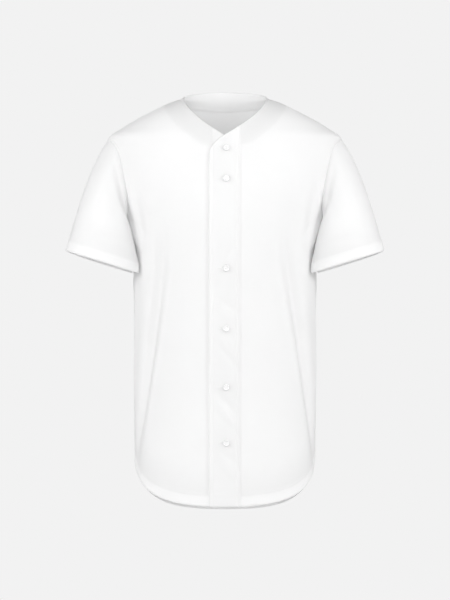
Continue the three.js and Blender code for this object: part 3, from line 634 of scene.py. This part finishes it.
def flat_grid(grid, first, uv_shift):
    """A grid's values as flat lists, with its faces turned outward and numbered from first."""
    rows, columns = grid["point"].shape[:2]
    flat = {key: grid[key].reshape(-1, 3) for key in ("point", "out")}
    for key in ("raised", "thick", "tone"):
        flat[key] = np.broadcast_to(grid[key], (rows, columns)).reshape(-1)
    flat["uv"] = arc_uv(grid["point"]).reshape(-1, 2) + [uv_shift, 0]
    faces = grid_quads(rows, columns)
    corner = flat["point"][faces]
    normal = np.cross(corner[:, 1] - corner[:, 0], corner[:, 3] - corner[:, 0])
    if (normal * flat["out"][faces[:, 0]]).sum() < 0:
        faces = faces[:, ::-1]
    return flat | {"faces": faces + first}


def cloth_piece(name, grids, material):
    """A thin closed cloth with rounded edges, from grids with point, out, raised, thick and tone."""
    firsts = np.cumsum([0] + [grid["point"][..., 0].size for grid in grids])
    flats = [flat_grid(grid, firsts[i], UV_SHIFT * i) for i, grid in enumerate(grids)]
    joined = {key: np.concatenate([flat[key] for flat in flats]) for key in flats[0]}
    uv, quads = joined["uv"], joined["faces"]
    cells = np.round(joined["point"] / WELD + WELD_SHIFT)
    _, kept, welded = np.unique(cells, axis=0, return_index=True, return_inverse=True)
    faces = welded.reshape(-1)[quads]
    keys = ("point", "out", "raised", "thick", "tone")
    points, outs, raised, thick, tone = (joined[key][kept] for key in keys)
    outer = points + outs * raised[:, None]
    inner = outer - outs * thick[:, None]
    edges = np.concatenate([faces[:, [k, (k + 1) % 4]] for k in range(4)])
    edge_uv = np.concatenate([uv[quads[:, k]] for k in range(4)])
    key = np.sort(edges, axis=1)
    _, where, uses = np.unique(key, axis=0, return_inverse=True, return_counts=True)
    border = uses[where.reshape(-1)] == 1
    rim, rim_uv = edges[border], edge_uv[border]
    tangent = np.zeros_like(points)
    for end in (0, 1):
        np.add.at(tangent, rim[:, end], outer[rim[:, 1]] - outer[rim[:, 0]])
    bulging = np.unique(rim)
    number = np.full(len(points), -1)
    number[bulging] = 2 * len(points) + np.arange(len(bulging))
    away = unit(np.cross(tangent[bulging], outs[bulging]))
    bulge = (outer[bulging] + inner[bulging]) / 2 + away * thick[bulging, None] * EDGE_BULGE
    count = len(points)
    a, b = rim[:, 0], rim[:, 1]
    rims = [
        np.stack([b, a, number[a], number[b]], axis=1),
        np.stack([number[b], number[a], a + count, b + count], axis=1),
    ]
    every = np.concatenate([faces, faces[:, ::-1] + count, *rims])
    mesh = mesh_of(name, np.concatenate([outer, inner, bulge]), every.tolist())
    side_uv = [uv[quads].reshape(-1, 2), uv[quads[:, ::-1]].reshape(-1, 2)]
    corner_uv = np.concatenate(side_uv + [np.repeat(rim_uv, 4, axis=0)] * 2)
    mesh.uv_layers.new(name="Cloth").data.foreach_set("uv", corner_uv.astype(np.float32).reshape(-1))
    shade = mesh.attributes.new("tone", "FLOAT", "POINT")
    shade.data.foreach_set("value", np.concatenate([tone, tone, tone[bulging]]).astype(np.float32))
    obj = link(name, mesh, material)
    return obj


def distance_from(points, column):
    """Length along the rows of a grid from one of its columns."""
    passed = lengths(points, 1)
    return np.abs(passed - passed[:, [column]])


def height_over_hem(points):
    return lengths(points, 0)


def depth_below_top(points):
    return lengths(points[::-1], 0)[::-1]


SEAM_DIP = 0.35
SEAM_WIDTH = 3
PLACKET_SEAM = {"dip": 0.25, "width": 1.8}
STITCH_DIP = 0.5
DIP_WIDTHS = {"hem": 1.3, "neck": 1.5, "armhole": 1.4, "placket": 1.2, "placket_top": 1.4}
UNDERARM_ROWS = 6  # rows over which the armhole's stitches begin
HEM_PUFF = 0.6
HEM_EASE = 3
HEM_PAST = 0.5  # how far past its upper stitches the hem still swells
HEM_STITCHES = (13.5, 19.5)
SLEEVE_STITCHES = (12.5, 18)
NECK_STITCH = 6
ARMHOLE_STITCH = 5.5
# Painted shade: the cloth over the neck facing and the placket under the upper one are coloured darker
PAINTED_SHADE_TONE = -0.03
FACING_SHADE_REACH = FACING_WIDTH + 1  # how far from the neckline the painted shade over the facing reaches
FACING_EASE = 3
HEM_TONE = 0.022
# Painted shade above the hems
ABOVE_HEM_SHADE = -0.03
SHADED_TO = 90  # height up to which the cloth over the hem has painted shade
SHADED_RUN = 70
PLACKET_TONE = 0.012


def dips(distance, row, *places):
    """Depth that rows of stitches press into the cloth."""
    return sum(STITCH_DIP * bell(distance - at, DIP_WIDTHS[row]) for at in places)


def hem_swell(height, stitches):
    """Outward swell of the doubled hem, pinched along its two rows of stitches."""
    past_top = height - stitches[-1] - HEM_PAST
    swell = HEM_PUFF * smoothstep(height / HEM_EASE) * (1 - smoothstep(past_top / HEM_EASE))
    return swell - dips(height, "hem", *stitches)


def hem_tone_and_shade(height, top):
    """Lighter on the doubled hem, where less light passes through, with painted shade a little darker above
    it.
    """
    doubled = smoothstep((top + 1 - height) / 2)
    shaded = (1 - doubled) * smoothstep((SHADED_TO - height) / SHADED_RUN)
    return HEM_TONE * doubled + ABOVE_HEM_SHADE * shaded


def body_side(side):
    front = drape(front_places(PLACKET_HALF if side > 0 else UNDER_SEAM_X), side)
    back = drape(back_places(), side)
    return {"side": side, "front": front, "back": back, "sleeve": sleeve_cloth(front, back, side)}


def lift(x):
    return LIFT * (1 - smoothstep((np.abs(x) - PLACKET_HALF) / LIFT_RUN))


def neck_distance(points, line_points):
    """Least distance of each point of a grid from a line."""
    return np.linalg.norm(points[:, :, None] - line_points, axis=-1).min(axis=-1)


def panel_surface(cloth, neck_row, side, is_front):
    points = cloth["point"]
    hem = height_over_hem(points)
    from_outer = distance_from(points, -1)
    from_inner = distance_from(points, 0)
    from_top = depth_below_top(points)
    raised = hem_swell(hem, HEM_STITCHES)
    raised = raised - SEAM_DIP * bell(from_outer, SEAM_WIDTH) - SEAM_DIP * bell(from_top, SEAM_WIDTH)
    neck_line = points[neck_row:, 0]
    from_neck = neck_distance(points, neck_line[::2])
    raised = raised - dips(from_neck, "neck", NECK_STITCH)
    past_underarm = smoothstep((np.arange(len(points)) - underarm_row) / UNDERARM_ROWS)[:, None]
    raised = raised - dips(from_outer, "armhole", ARMHOLE_STITCH) * past_underarm
    if is_front:
        below_neck = (np.arange(len(points)) <= neck_row)[:, None]
        raised = raised - PLACKET_SEAM["dip"] * bell(from_inner, PLACKET_SEAM["width"]) * below_neck
        if side > 0:
            raised = raised + lift(points[..., 0])
    # Painted shade in a band along the neckline, over the facing
    shaded_over_facing = smoothstep((FACING_SHADE_REACH - from_neck) / FACING_EASE)
    cloth["raised"] = raised
    cloth["from_neck"], cloth["from_outer"] = from_neck, from_outer
    cloth["thick"] = CLOTH * (1 + smoothstep((STEP_TOP - hem) / TURN_STEP))
    # Tone: painted shade over the facing band and above the hem, and the lighter doubled hem
    cloth["tone"] = PAINTED_SHADE_TONE * shaded_over_facing + hem_tone_and_shade(hem, HEM_STITCHES[-1])


def sleeve_surface(cloth):
    keys = ("point", "out", "from_seam")
    closed = {key: np.concatenate([cloth[key], cloth[key][:, :1]], axis=1) for key in keys}
    length = np.append(cloth["length"], cloth["length"][0])
    hem = length[None, :] - closed["from_seam"]
    closed["raised"] = hem_swell(hem, SLEEVE_STITCHES) - SEAM_DIP * bell(closed["from_seam"], SEAM_WIDTH)
    closed["thick"] = CLOTH * (1 + smoothstep((SLEEVE_TURN + TURN_STEP - hem) / TURN_STEP))
    # Tone: the lighter doubled hem, with painted shade above it
    closed["tone"] = hem_tone_and_shade(hem, SLEEVE_STITCHES[-1])
    return closed


def below(q, z, length):
    """Height of the place that lies a given length further down the form from another."""
    heights = z[:, None] - DOWN_STEP * np.arange(int(2 * length / DOWN_STEP))[None, :]
    line = bare(np.broadcast_to(q[:, None], heights.shape), heights)
    reached = (lengths(line, 1) < length).sum(axis=1)
    return heights[np.arange(len(z)), reached]


def facing_cloth(neck, side):
    q, z = neck(np.linspace(0, 1, FACING_ROWS + 1))
    bottom = below(q, z, FACING_WIDTH)
    t = np.linspace(0, 1, FACING_COLUMNS + 1)[None, :]
    heights = lerp(z[:, None], bottom[:, None], t)
    cloth = drape((np.broadcast_to(q[:, None], heights.shape), heights), side)
    down = FACING_WIDTH * t
    lip = FACING_LIP["rise"] * smoothstep(1 - down / FACING_LIP["run"])
    fold = bell(down - FACING_WIDTH + FACING_FOLD["from_edge"], FACING_FOLD["width"])
    raised = lip - FACING_DEPTH + FACING_FOLD["rise"] * fold
    return cloth | {"raised": raised, "thick": FACING_CLOTH, "tone": 0}


def placket_cloth(side, from_x, to_x):
    heights = front_rows[: front_neck_row + 1, INNER_Z][:, None]
    x = lerp(from_x, to_x, crowded(PLACKET_COLUMNS, 0.4))[None, :]
    rise = front_hem(np.abs(place_of(x, FRONT_HEM_Z))) - FRONT_HEM_Z
    share = (heights - PLACKET_LEVEL_Z) / (PLACKET_TOP_Z - PLACKET_LEVEL_Z)
    level = heights + rise * (PLACKET_LEVEL_Z - heights) / (PLACKET_LEVEL_Z - FRONT_HEM_Z)
    z = np.where(share > 0, lerp(PLACKET_LEVEL_Z, neck_height(side * x), share), level)
    return drape((place_of(x, z), z), 1) | {"x": np.broadcast_to(x, z.shape)}


PLACKET_EDGE = {"height": 2.2, "run": 1.5}  # outer side of its front edge above the form
SEAM_DROP = {"depth": 0.7, "run": 5}
BUTTON_PULL = {"depth": 0.25, "width": 7, "stretch": 1.5}
PLACKET_HEM_SHARE = 0.6
PLACKET_STITCHES = (-PLACKET_HALF + 5.5, PLACKET_HALF - 2.2, PLACKET_HALF - 8)


def upper_placket():
    cloth = placket_cloth(1, -PLACKET_HALF, PLACKET_HALF)
    x = cloth["x"]
    hem = height_over_hem(cloth["point"])
    from_top = depth_below_top(cloth["point"])
    pressed = dips(x, "placket", *PLACKET_STITCHES) + dips(from_top, "placket_top", NECK_STITCH)
    near_edge = 0.5 * smoothstep((x + PLACKET_HALF) / PLACKET_EDGE["run"]) + 0.5
    at_seam = smoothstep((x - PLACKET_HALF) / SEAM_DROP["run"] + 1)
    raised = PLACKET_TOP_SIDE * near_edge + PLACKET_EDGE["height"] * (1 - near_edge)
    raised = raised - pressed - SEAM_DROP["depth"] * at_seam
    for z in BUTTON_HEIGHTS:
        pull = np.hypot((x - BUTTON_X) / BUTTON_PULL["stretch"], cloth["point"][..., 2] - z)
        raised = raised - BUTTON_PULL["depth"] * bell(pull, BUTTON_PULL["width"])
    raised = raised + hem_swell(hem, HEM_STITCHES) * PLACKET_HEM_SHARE
    return cloth | {"raised": raised, "thick": PLACKET_CLOTH, "tone": PLACKET_TONE}


def under_placket():
    cloth = placket_cloth(-1, -UNDER_SEAM_X, PLACKET_HALF)
    # Painted shade on the placket that lies under the upper one
    return cloth | {"raised": 0, "thick": PLACKET_CLOTH, "tone": PAINTED_SHADE_TONE}


# Stitches
STITCH_PITCH = 3.1
STITCH_LOOK = 0.8  # how far ahead and back a stitch takes its direction from
STITCH = {"length": 2.5, "width": 0.55, "height": 0.28}
BEAD_RINGS = ((-0.5, 0.25), (-0.25, 1.0), (0.25, 1.0), (0.5, 0.25))
BEAD_SIDES = 5


def beads(centres, along, outs, length, width, height):
    """Small rounded strands, one at each centre: their vertices and faces."""
    across = unit(np.cross(outs, along))
    angles = 2 * np.pi * np.arange(BEAD_SIDES) / BEAD_SIDES + np.pi / 2
    rings = []
    for reach, size in BEAD_RINGS:
        middle = centres + along * (reach * length)
        for angle in angles:
            offset = across * (np.cos(angle) * width / 2 * size) + outs * (np.sin(angle) * height * size)
            rings.append(middle + offset)
    vertices = np.stack(rings, axis=1)
    per_bead = len(BEAD_RINGS) * BEAD_SIDES
    faces = []
    for ring in range(len(BEAD_RINGS) - 1):
        for k in range(BEAD_SIDES):
            a, b = ring * BEAD_SIDES + k, ring * BEAD_SIDES + (k + 1) % BEAD_SIDES
            faces.append((a, b, b + BEAD_SIDES, a + BEAD_SIDES))
    faces += [tuple(range(BEAD_SIDES))[::-1], tuple(range(per_bead - BEAD_SIDES, per_bead))]
    every = [tuple(i * per_bead + v for v in face) for i in range(len(centres)) for face in faces]
    return vertices.reshape(-1, 3), every


def bead_mesh(name, centres, along, outs, length, width, height):
    vertices, faces = beads(np.array(centres), np.array(along), np.array(outs), length, width, height)
    link(name, mesh_of(name, vertices, faces), thread)


def stitch_run(line, outs):
    """Centres, directions and outward directions of the stitches along a line."""
    passed = lengths(line[None], 1)[0]
    count = max(1, int(passed[-1] / STITCH_PITCH))
    at = (np.arange(count) + 0.5) * passed[-1] / count
    along = unit(points_at(at + STITCH_LOOK, passed, line) - points_at(at - STITCH_LOOK, passed, line))
    return points_at(at, passed, line), along, unit(points_at(at, passed, outs))


def sewing(name, runs):
    centres, along, outs = (np.concatenate(v) for v in zip(*(stitch_run(*run) for run in runs)))
    bead_mesh(name, centres, along, outs, **STITCH)


def surface_of(cloth):
    return cloth["point"] + cloth["out"] * np.asarray(cloth["raised"])[..., None]


def crossing_line(surface, outs, measure, at):
    """The line through the places where a measure reaches a value along each row of a grid."""
    line, line_outs = [], []
    for row, row_outs, values in zip(surface, outs, measure):
        rising = slice(None) if values[0] < values[-1] else slice(None, None, -1)
        line.append(points_at(at, values[rising], row[rising]))
        line_outs.append(points_at(at, values[rising], row_outs[rising]))
    return np.array(line), unit(np.array(line_outs))


def line_across(cloth, measure, at):
    """The line over a grid's columns where a measure up them reaches a value."""
    return crossing_line(surface_of(cloth).swapaxes(0, 1), cloth["out"].swapaxes(0, 1), measure.T, at)


def line_up(cloth, measure, at, rows):
    """The line up some of a grid's rows where a measure along them reaches a value."""
    return crossing_line(surface_of(cloth)[rows], cloth["out"][rows], measure[rows], at)


def wrong_side_line(cloth, column):
    """A line down a column of a grid on the side of the cloth that faces the wearer."""
    depth = (np.asarray(cloth["raised"]) - cloth["thick"])[..., None]
    inside = cloth["point"] + cloth["out"] * depth
    return inside[:, column], -cloth["out"][:, column]


# Materials
KNIT_WHITE = (0.93, 0.93, 0.93)
SEE_THROUGH = 0.4
WALE = 1.15
COURSE = 0.85


def settle(node, settings):
    """Sets a node's own values and its inputs, whose names have low lines for spaces."""
    for key, value in settings.items():
        if hasattr(node, key):
            setattr(node, key, value)
        else:
            node.inputs[key.replace("_", " ")].default_value = value
    return node


def node_tree(name, **settings):
    material = bpy.data.materials.new(name)
    material.use_nodes = True
    tree = material.node_tree
    return material, tree, settle(tree.nodes["Principled BSDF"], settings)


def feed(taker, given):
    """Links a node's inputs to the outputs that other nodes give them."""
    for slot, (giver, output) in given.items():
        taker.id_data.links.new(giver.outputs[output], taker.inputs[slot])


def add(tree, kind, given=(), **settings):
    node = settle(tree.nodes.new(kind), settings)
    feed(node, dict(given))
    return node


def knit_height(tree):
    """Height of a fine knit: upright wales crossed by shorter courses, in the cloth's own metres."""
    uv = add(tree, "ShaderNodeUVMap", uv_map="Cloth")
    on_cloth = {"Vector": (uv, "UV")}
    heights = []
    for direction, period in (("X", WALE), ("Y", COURSE)):
        scale = 2 * np.pi / 20 / (period * MM)
        wave = add(tree, "ShaderNodeTexWave", on_cloth, bands_direction=direction, Scale=scale)
        heights.append((wave, "Fac"))
    return on_cloth, add(tree, "ShaderNodeMath", enumerate(heights), operation="MULTIPLY")


def knit_material(name, roughness, sheen):
    """White polyester knit. Its attribute tone makes it a little lighter on the doubled hems and placket,
    and carries painted shade: darker over the neck facing, on the under placket and above the hems.
    """
    soft = {"Sheen_Roughness": 0.45, "Specular_IOR_Level": 0.25}
    material, tree, shader = node_tree(name, Roughness=roughness, Sheen_Weight=sheen, **soft)
    on_cloth, knit = knit_height(tree)
    tone = add(tree, "ShaderNodeAttribute", attribute_name="tone")
    cloudy = add(tree, "ShaderNodeTexNoise", on_cloth, Scale=9.0, Detail=3.0, Roughness=0.55)
    greys = add(tree, "ShaderNodeMapRange", {"Value": (cloudy, "Fac")}, To_Min=0.975, To_Max=1.01)
    toned = add(tree, "ShaderNodeMath", {0: (greys, "Result"), 1: (tone, "Fac")}, operation="ADD")
    clouded = add(tree, "ShaderNodeVectorMath", {"Scale": (toned, "Value")}, operation="SCALE")
    clouded.inputs[0].default_value = KNIT_WHITE
    bump = add(tree, "ShaderNodeBump", {"Height": (knit, "Value")}, Strength=0.22, Distance=0.00025)
    feed(shader, {"Base Color": (clouded, "Vector"), "Normal": (bump, "Normal")})
    # Light passes through the thin cloth and fills its inside
    through = add(tree, "ShaderNodeBsdfTranslucent", {"Color": (clouded, "Vector")})
    both = {1: (shader, "BSDF"), 2: (through, "BSDF")}
    thin = add(tree, "ShaderNodeMixShader", both, Fac=SEE_THROUGH)
    feed(tree.nodes["Material Output"], {"Surface": (thin, "Shader")})
    return material


def flecked(tree, shader, scale, dark, light):
    """Colours a surface by fine noise between two close greys, and gives back the noise."""
    place = add(tree, "ShaderNodeTexCoord")
    noise = add(tree, "ShaderNodeTexNoise", {"Vector": (place, "Object")}, Scale=scale, Detail=2.0)
    greys = {"A": (dark, dark, dark, 1), "B": (light, light, light, 1)}
    mix = add(tree, "ShaderNodeMix", {"Factor": (noise, "Fac")}, data_type="RGBA", **greys)
    feed(shader, {"Base Color": (mix, "Result")})
    return noise


def thread_material():
    material, tree, shader = node_tree("white_thread", Roughness=0.55, Sheen_Weight=0.2)
    flecked(tree, shader, 900.0, 0.86, 0.95)
    return material


def button_material():
    material, tree, shader = node_tree("white_button_shaded", Roughness=0.28, Coat_Weight=0.3)
    # Painted shade: greys well under the white of the plastic darken the whole button
    noise = flecked(tree, shader, 220.0, 0.7, 0.75)
    bump = add(tree, "ShaderNodeBump", {"Height": (noise, "Fac")}, Strength=0.05, Distance=0.0001)
    feed(shader, {"Normal": (bump, "Normal")})
    return material


knits = {
    "jersey_cloth": knit_material("jersey_knit", roughness=0.85, sheen=0.25),
    "facing_cloth": knit_material("facing_knit", roughness=0.9, sheen=0.15),
}
thread = thread_material()
shaded_button_plastic = button_material()

# Cloth pieces
left, right = body_side(1), body_side(-1)
sleeves = []
for half in (left, right):
    sleeves.append(sleeve_surface(half["sleeve"]))
    panel_surface(half["front"], front_neck_row, half["side"], True)
    panel_surface(half["back"], back_neck_row, half["side"], False)
upper = upper_placket()

facings = {
    "facing_left": [facing_cloth(neck_from(PLACKET_HALF), 1)],
    "facing_right": [facing_cloth(neck_from(UNDER_SEAM_X), -1)],
    "facing_back": [facing_cloth(back_neck, 1), facing_cloth(back_neck, -1)],
}
shells = {
    "front_left": [left["front"]],
    "sleeve_left": [sleeves[0]],
    "front_right": [right["front"]],
    "sleeve_right": [sleeves[1]],
    "back": [left["back"], right["back"]],
    "placket_upper": [upper],
    "placket_under": [under_placket()],
}
for name, grids in (shells | facings).items():
    slot = "facing_cloth" if name in facings else "jersey_cloth"
    cloth_piece(f"cloth_{name}", grids, knits[slot])

# What shows of each cut piece: its name, its width round the body or the arm, its length and its area,
# in metres and square metres, how it is held, and what it hangs from
SHEETS = [
    ("front_left", 0.24, 0.85, 0.159, "hung", ["back"]),
    ("front_right", 0.245, 0.852, 0.162, "hung", ["back"]),
    ("back", 0.531, 0.935, 0.358, "hung", ["front_left", "front_right"]),
    ("sleeve_left", 0.494, 0.229, 0.0712, "hung", ["front_left", "back"]),
    ("sleeve_right", 0.494, 0.229, 0.0712, "hung", ["front_right", "back"]),
    ("placket_upper", 0.057, 0.711, 0.0394, "folded", ["front_left"]),
    ("placket_under", 0.0525, 0.708, 0.0362, "folded", ["front_right"]),
    ("facing_left", 0.04, 0.181, 0.0058, "folded", ["front_left"]),
    ("facing_right", 0.04, 0.188, 0.006, "folded", ["front_right"]),
    ("facing_back", 0.04, 0.31, 0.0098, "folded", ["back"]),
]
for name, width, length, area, held, hangs_from in SHEETS:
    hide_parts(name)

# Sewing
hem_runs = []
for half in (left, right):
    for key in ("front", "back"):
        measure = height_over_hem(half[key]["point"])
        hem_runs += [line_across(half[key], measure, at) for at in HEM_STITCHES]
sewing("stitches_hem", hem_runs)

cuff_runs = []
for cuff in sleeves:
    measure = cuff["from_seam"][-1] - cuff["from_seam"]
    cuff_runs += [line_across(cuff, measure, at) for at in SLEEVE_STITCHES]
sewing("stitches_sleeve_hems", cuff_runs)

placket_runs = [line_up(upper, upper["x"], x, slice(1, -4)) for x in PLACKET_STITCHES[:2]]
placket_runs.append(line_across(upper, depth_below_top(upper["point"]), NECK_STITCH))
sewing("stitches_placket", placket_runs)

neck_runs, armhole_runs = [], []
for half in (left, right):
    for key, neck_row in (("front", front_neck_row), ("back", back_neck_row)):
        cloth = half[key]
        last = len(cloth["point"]) - 1
        neck_runs.append(line_up(cloth, cloth["from_neck"], NECK_STITCH, slice(neck_row + 1, last)))
        armhole_rows = slice(underarm_row + 5, last - 2)
        armhole_runs.append(line_up(cloth, cloth["from_outer"], ARMHOLE_STITCH, armhole_rows))
sewing("stitches_neckline", neck_runs)
sewing("stitches_armholes", armhole_runs)
sewing("stitches_facing", [wrong_side_line(grid, -3) for grids in facings.values() for grid in grids])


# Buttons
BUTTON_RIM = [(5.2, 0), (6.0, 0.35), (6.3, 1.0), (6.3, 1.6), (6.1, 2.2), (5.6, 2.55), (5.0, 2.6)]
BUTTON_DISH = [(4.55, 2.35), (4.1, 1.85), (3.4, 1.72)]
BUTTON_PROFILE = [(0, 0), *BUTTON_RIM, *BUTTON_DISH, (0, 1.7)]
BUTTON_SIDES = 48
HOLE_PROFILE = [(0, -1), (0.62, -1), (0.62, 4), (0, 4)]
HOLE_SIDES = 14
HOLE_FROM_AXIS = 1.25
BUTTON_TURN = 0.25  # the most that a button is turned on its thread
THREAD_STRANDS = (-0.28, 0, 0.28)
THREAD_HEIGHT = 1.85
BUTTON_THREAD = {"length": 3.3, "width": 0.34, "height": 0.2}


def turned_form(profile, sides):
    """Vertices and faces of a closed form turned from radii and heights that start and end on its axis."""
    angles = 2 * np.pi * np.arange(sides) / sides
    ring = np.stack([np.cos(angles), np.sin(angles), np.zeros(sides)], axis=-1)
    rings = [ring * radius + [0, 0, height] for radius, height in profile[1:-1]]
    vertices = np.concatenate([[(0, 0, profile[0][1])], *rings, [(0, 0, profile[-1][1])]])
    following = (np.arange(sides) + 1) % sides
    top = len(vertices) - 1
    faces = [(0, 1 + n, 1 + k) for k, n in enumerate(following)]
    for base in range(1, top - sides, sides):
        faces += [(base + k, base + n, base + sides + n, base + sides + k) for k, n in enumerate(following)]
    faces += [(top - sides + k, top - sides + n, top) for k, n in enumerate(following)]
    return vertices, faces


def button_holes():
    """Four posts that cut the holes of a button."""
    post, sides = turned_form(HOLE_PROFILE, HOLE_SIDES)
    vertices, faces = [], []
    for x in (-HOLE_FROM_AXIS, HOLE_FROM_AXIS):
        for y in (-HOLE_FROM_AXIS, HOLE_FROM_AXIS):
            base = len(vertices)
            vertices.extend(post + [x, y, 0])
            faces.extend([tuple(base + k for k in face) for face in sides])
    return vertices, faces


def pierced_button():
    form = placed("button_form", mesh_of("button_form", *turned_form(BUTTON_PROFILE, BUTTON_SIDES)))
    holes = placed("holes", mesh_of("holes", *button_holes()))
    cut = form.modifiers.new("holes", "BOOLEAN")
    cut.object = holes
    cut.solver = "EXACT"
    bpy.context.view_layer.update()
    made = bpy.data.meshes.new_from_object(form.evaluated_get(bpy.context.evaluated_depsgraph_get()))
    bpy.data.objects.remove(form)
    bpy.data.objects.remove(holes)
    return made


def on_placket(x, z):
    """Places on the body's form at x and z, and their outward, upward and sideways directions."""
    q = place_of(x, z)
    point = skin(q, z)
    out = outward(skin, q, z)
    side = unit(np.cross(np.array([0.0, 0, 1]), out))
    return point, out, np.cross(out, side), side


button_form = pierced_button()
button_places = on_placket(np.full(len(BUTTON_HEIGHTS), BUTTON_X), np.array(BUTTON_HEIGHTS, float))
thread_centres, thread_along, thread_outs = [], [], []
for i, (point, out, up, side) in enumerate(zip(*button_places)):
    turn = BUTTON_TURN * np.sin(2.4 * i + 0.7)
    side, up = side * np.cos(turn) + up * np.sin(turn), up * np.cos(turn) - side * np.sin(turn)
    basis = np.stack([side, up, out], axis=1)
    base = point + out * BUTTON_SEAT
    mesh = button_form.copy()
    mesh.name = f"plastic_button_{i + 1}"
    flat = np.zeros(len(mesh.vertices) * 3, np.float32)
    mesh.vertices.foreach_get("co", flat)
    moved = flat.reshape(-1, 3) @ basis.T + base * MM
    mesh.vertices.foreach_set("co", moved.astype(np.float32).reshape(-1))
    mesh.materials.clear()
    button = link(f"plastic_button_{i + 1}", mesh, shaded_button_plastic)
    mesh.set_sharp_from_angle(angle=0.7)
    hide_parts(f"button_{i + 1}")
    for x in (-HOLE_FROM_AXIS, HOLE_FROM_AXIS):
        for strand in THREAD_STRANDS:
            thread_centres.append(base + side * (x + strand) + out * THREAD_HEIGHT)
            thread_along.append(up)
            thread_outs.append(out)
bead_mesh("button_threads", thread_centres, thread_along, thread_outs, **BUTTON_THREAD)


def buttonhole_places():
    """x, z and height over the placket of every stitch: two close bars and a bar tack at each end."""
    start, stop = BUTTONHOLE["from_x"], BUTTONHOLE["to_x"]
    half_apart = (BUTTONHOLE["bar"] + BUTTONHOLE["slot"]) / 2
    places = []
    for z in BUTTON_HEIGHTS:
        for x in np.arange(start, stop, BUTTONHOLE["pitch"]):
            places += [(x, z + offset, -0.05) for offset in (-half_apart, half_apart)]
        for beyond in TACK_BESIDE:
            places += [(x, z + step, 0) for x in (start - beyond, stop + beyond) for step in TACK_HEIGHTS]
    return np.array(places)


hole_x, hole_z, hole_height = buttonhole_places().T
point, out, up, side = on_placket(hole_x, hole_z)
hole_centres = point + out * (PLACKET_TOP_SIDE + hole_height)[:, None]
bead_mesh("buttonhole_stitches", hole_centres, up, out, **HOLE_STITCH)


# Floor, light and camera
FLOOR_REACH = 2300
FLOOR_Z = -1350
FLOOR_SIDES = 64


def floor():
    angles = 2 * np.pi * np.arange(FLOOR_SIDES) / FLOOR_SIDES
    ring = [(FLOOR_REACH * np.cos(a), FLOOR_REACH * np.sin(a), FLOOR_Z) for a in angles]
    mesh = mesh_of("floor", ring, [tuple(range(FLOOR_SIDES))])
    material, *_ = node_tree("pale_floor", Roughness=0.9, Base_Color=(0.88, 0.88, 0.88, 1))
    mesh.materials.append(material)
    placed("floor", mesh)


# Soft lights, in metres and watts
LIGHT_COLUMNS = ("name", "place", "target", "size", "power")
LIGHTS = [
    ("front", (0, -3.6, -0.3), (0, 0, -0.4), 2.4, 36.6),
    ("key", (0, -3.2, 1.3), (0, 0, -0.3), 1.6, 30.6),
    ("side_left", (2.1, -1.3, 0.6), (0, 0, -0.22), 1.2, 25.8),
    ("side_right", (-2.1, -1.3, 0.6), (0, 0, -0.22), 1.2, 25.8),
    ("half_left", (2.3, -0.72, 0.5), (0, 0, -0.22), 1.0, 10.6),
    ("half_right", (-2.3, -0.72, 0.5), (0, 0, -0.22), 1.0, 10.6),
    ("back", (0, 3.6, 0.8), (0, 0, -0.3), 2.0, 30),
]
INNER_LIGHT = {"place": (0, 0, -0.8), "size": 0.08, "cone": 0.4, "power": 12}
CAMERA_PLACE = (0, -4.0, -0.384)
CAMERA_LENS = 126.3


def area_light(name, place, target, size, power):
    light = bpy.data.lights.new(name, "AREA")
    light.shape = "DISK"
    light.size = size
    light.energy = power
    obj = placed(name, light, place)
    obj.rotation_euler = (Vector(target) - Vector(place)).to_track_quat("-Z", "Y").to_euler()
    obj.visible_camera = False


def inner_light():
    """A soft cone of light up to the neck, for the light that thin cloth scatters in its hollow."""
    light = bpy.data.lights.new("inner", "SPOT")
    light.energy = INNER_LIGHT["power"]
    light.shadow_soft_size = INNER_LIGHT["size"]
    light.spot_size = INNER_LIGHT["cone"]
    light.spot_blend = 1
    obj = placed("inner", light, INNER_LIGHT["place"])
    obj.rotation_euler = (np.pi, 0, 0)
    obj.visible_camera = False


def surroundings(shown, shining):
    """Pale surroundings that are seen in one grey and light the cloth in another."""
    world = bpy.data.worlds.new("pale_room")
    world.use_nodes = True
    tree = world.node_tree
    tree.nodes.clear()
    given = {"Fac": (add(tree, "ShaderNodeLightPath"), "Is Camera Ray")}
    for slot, level in ((1, shining), (2, shown)):
        grey = add(tree, "ShaderNodeBackground", Color=(level, level, level, 1))
        given[slot] = (grey, "Background")
    mix = add(tree, "ShaderNodeMixShader", given)
    add(tree, "ShaderNodeOutputWorld", {"Surface": (mix, "Shader")})
    bpy.context.scene.world = world


def camera():
    data = bpy.data.cameras.new("camera")
    data.sensor_width = 36
    data.lens = CAMERA_LENS
    obj = placed("camera", data, CAMERA_PLACE)
    obj.rotation_euler = (np.pi / 2, 0, 0)
    bpy.context.scene.camera = obj


floor()
surroundings(shown=0.888, shining=0.3)
for light in LIGHTS:
    area_light(**dict(zip(LIGHT_COLUMNS, light)))
inner_light()
camera()
bpy.context.scene.view_settings.view_transform = "Standard"
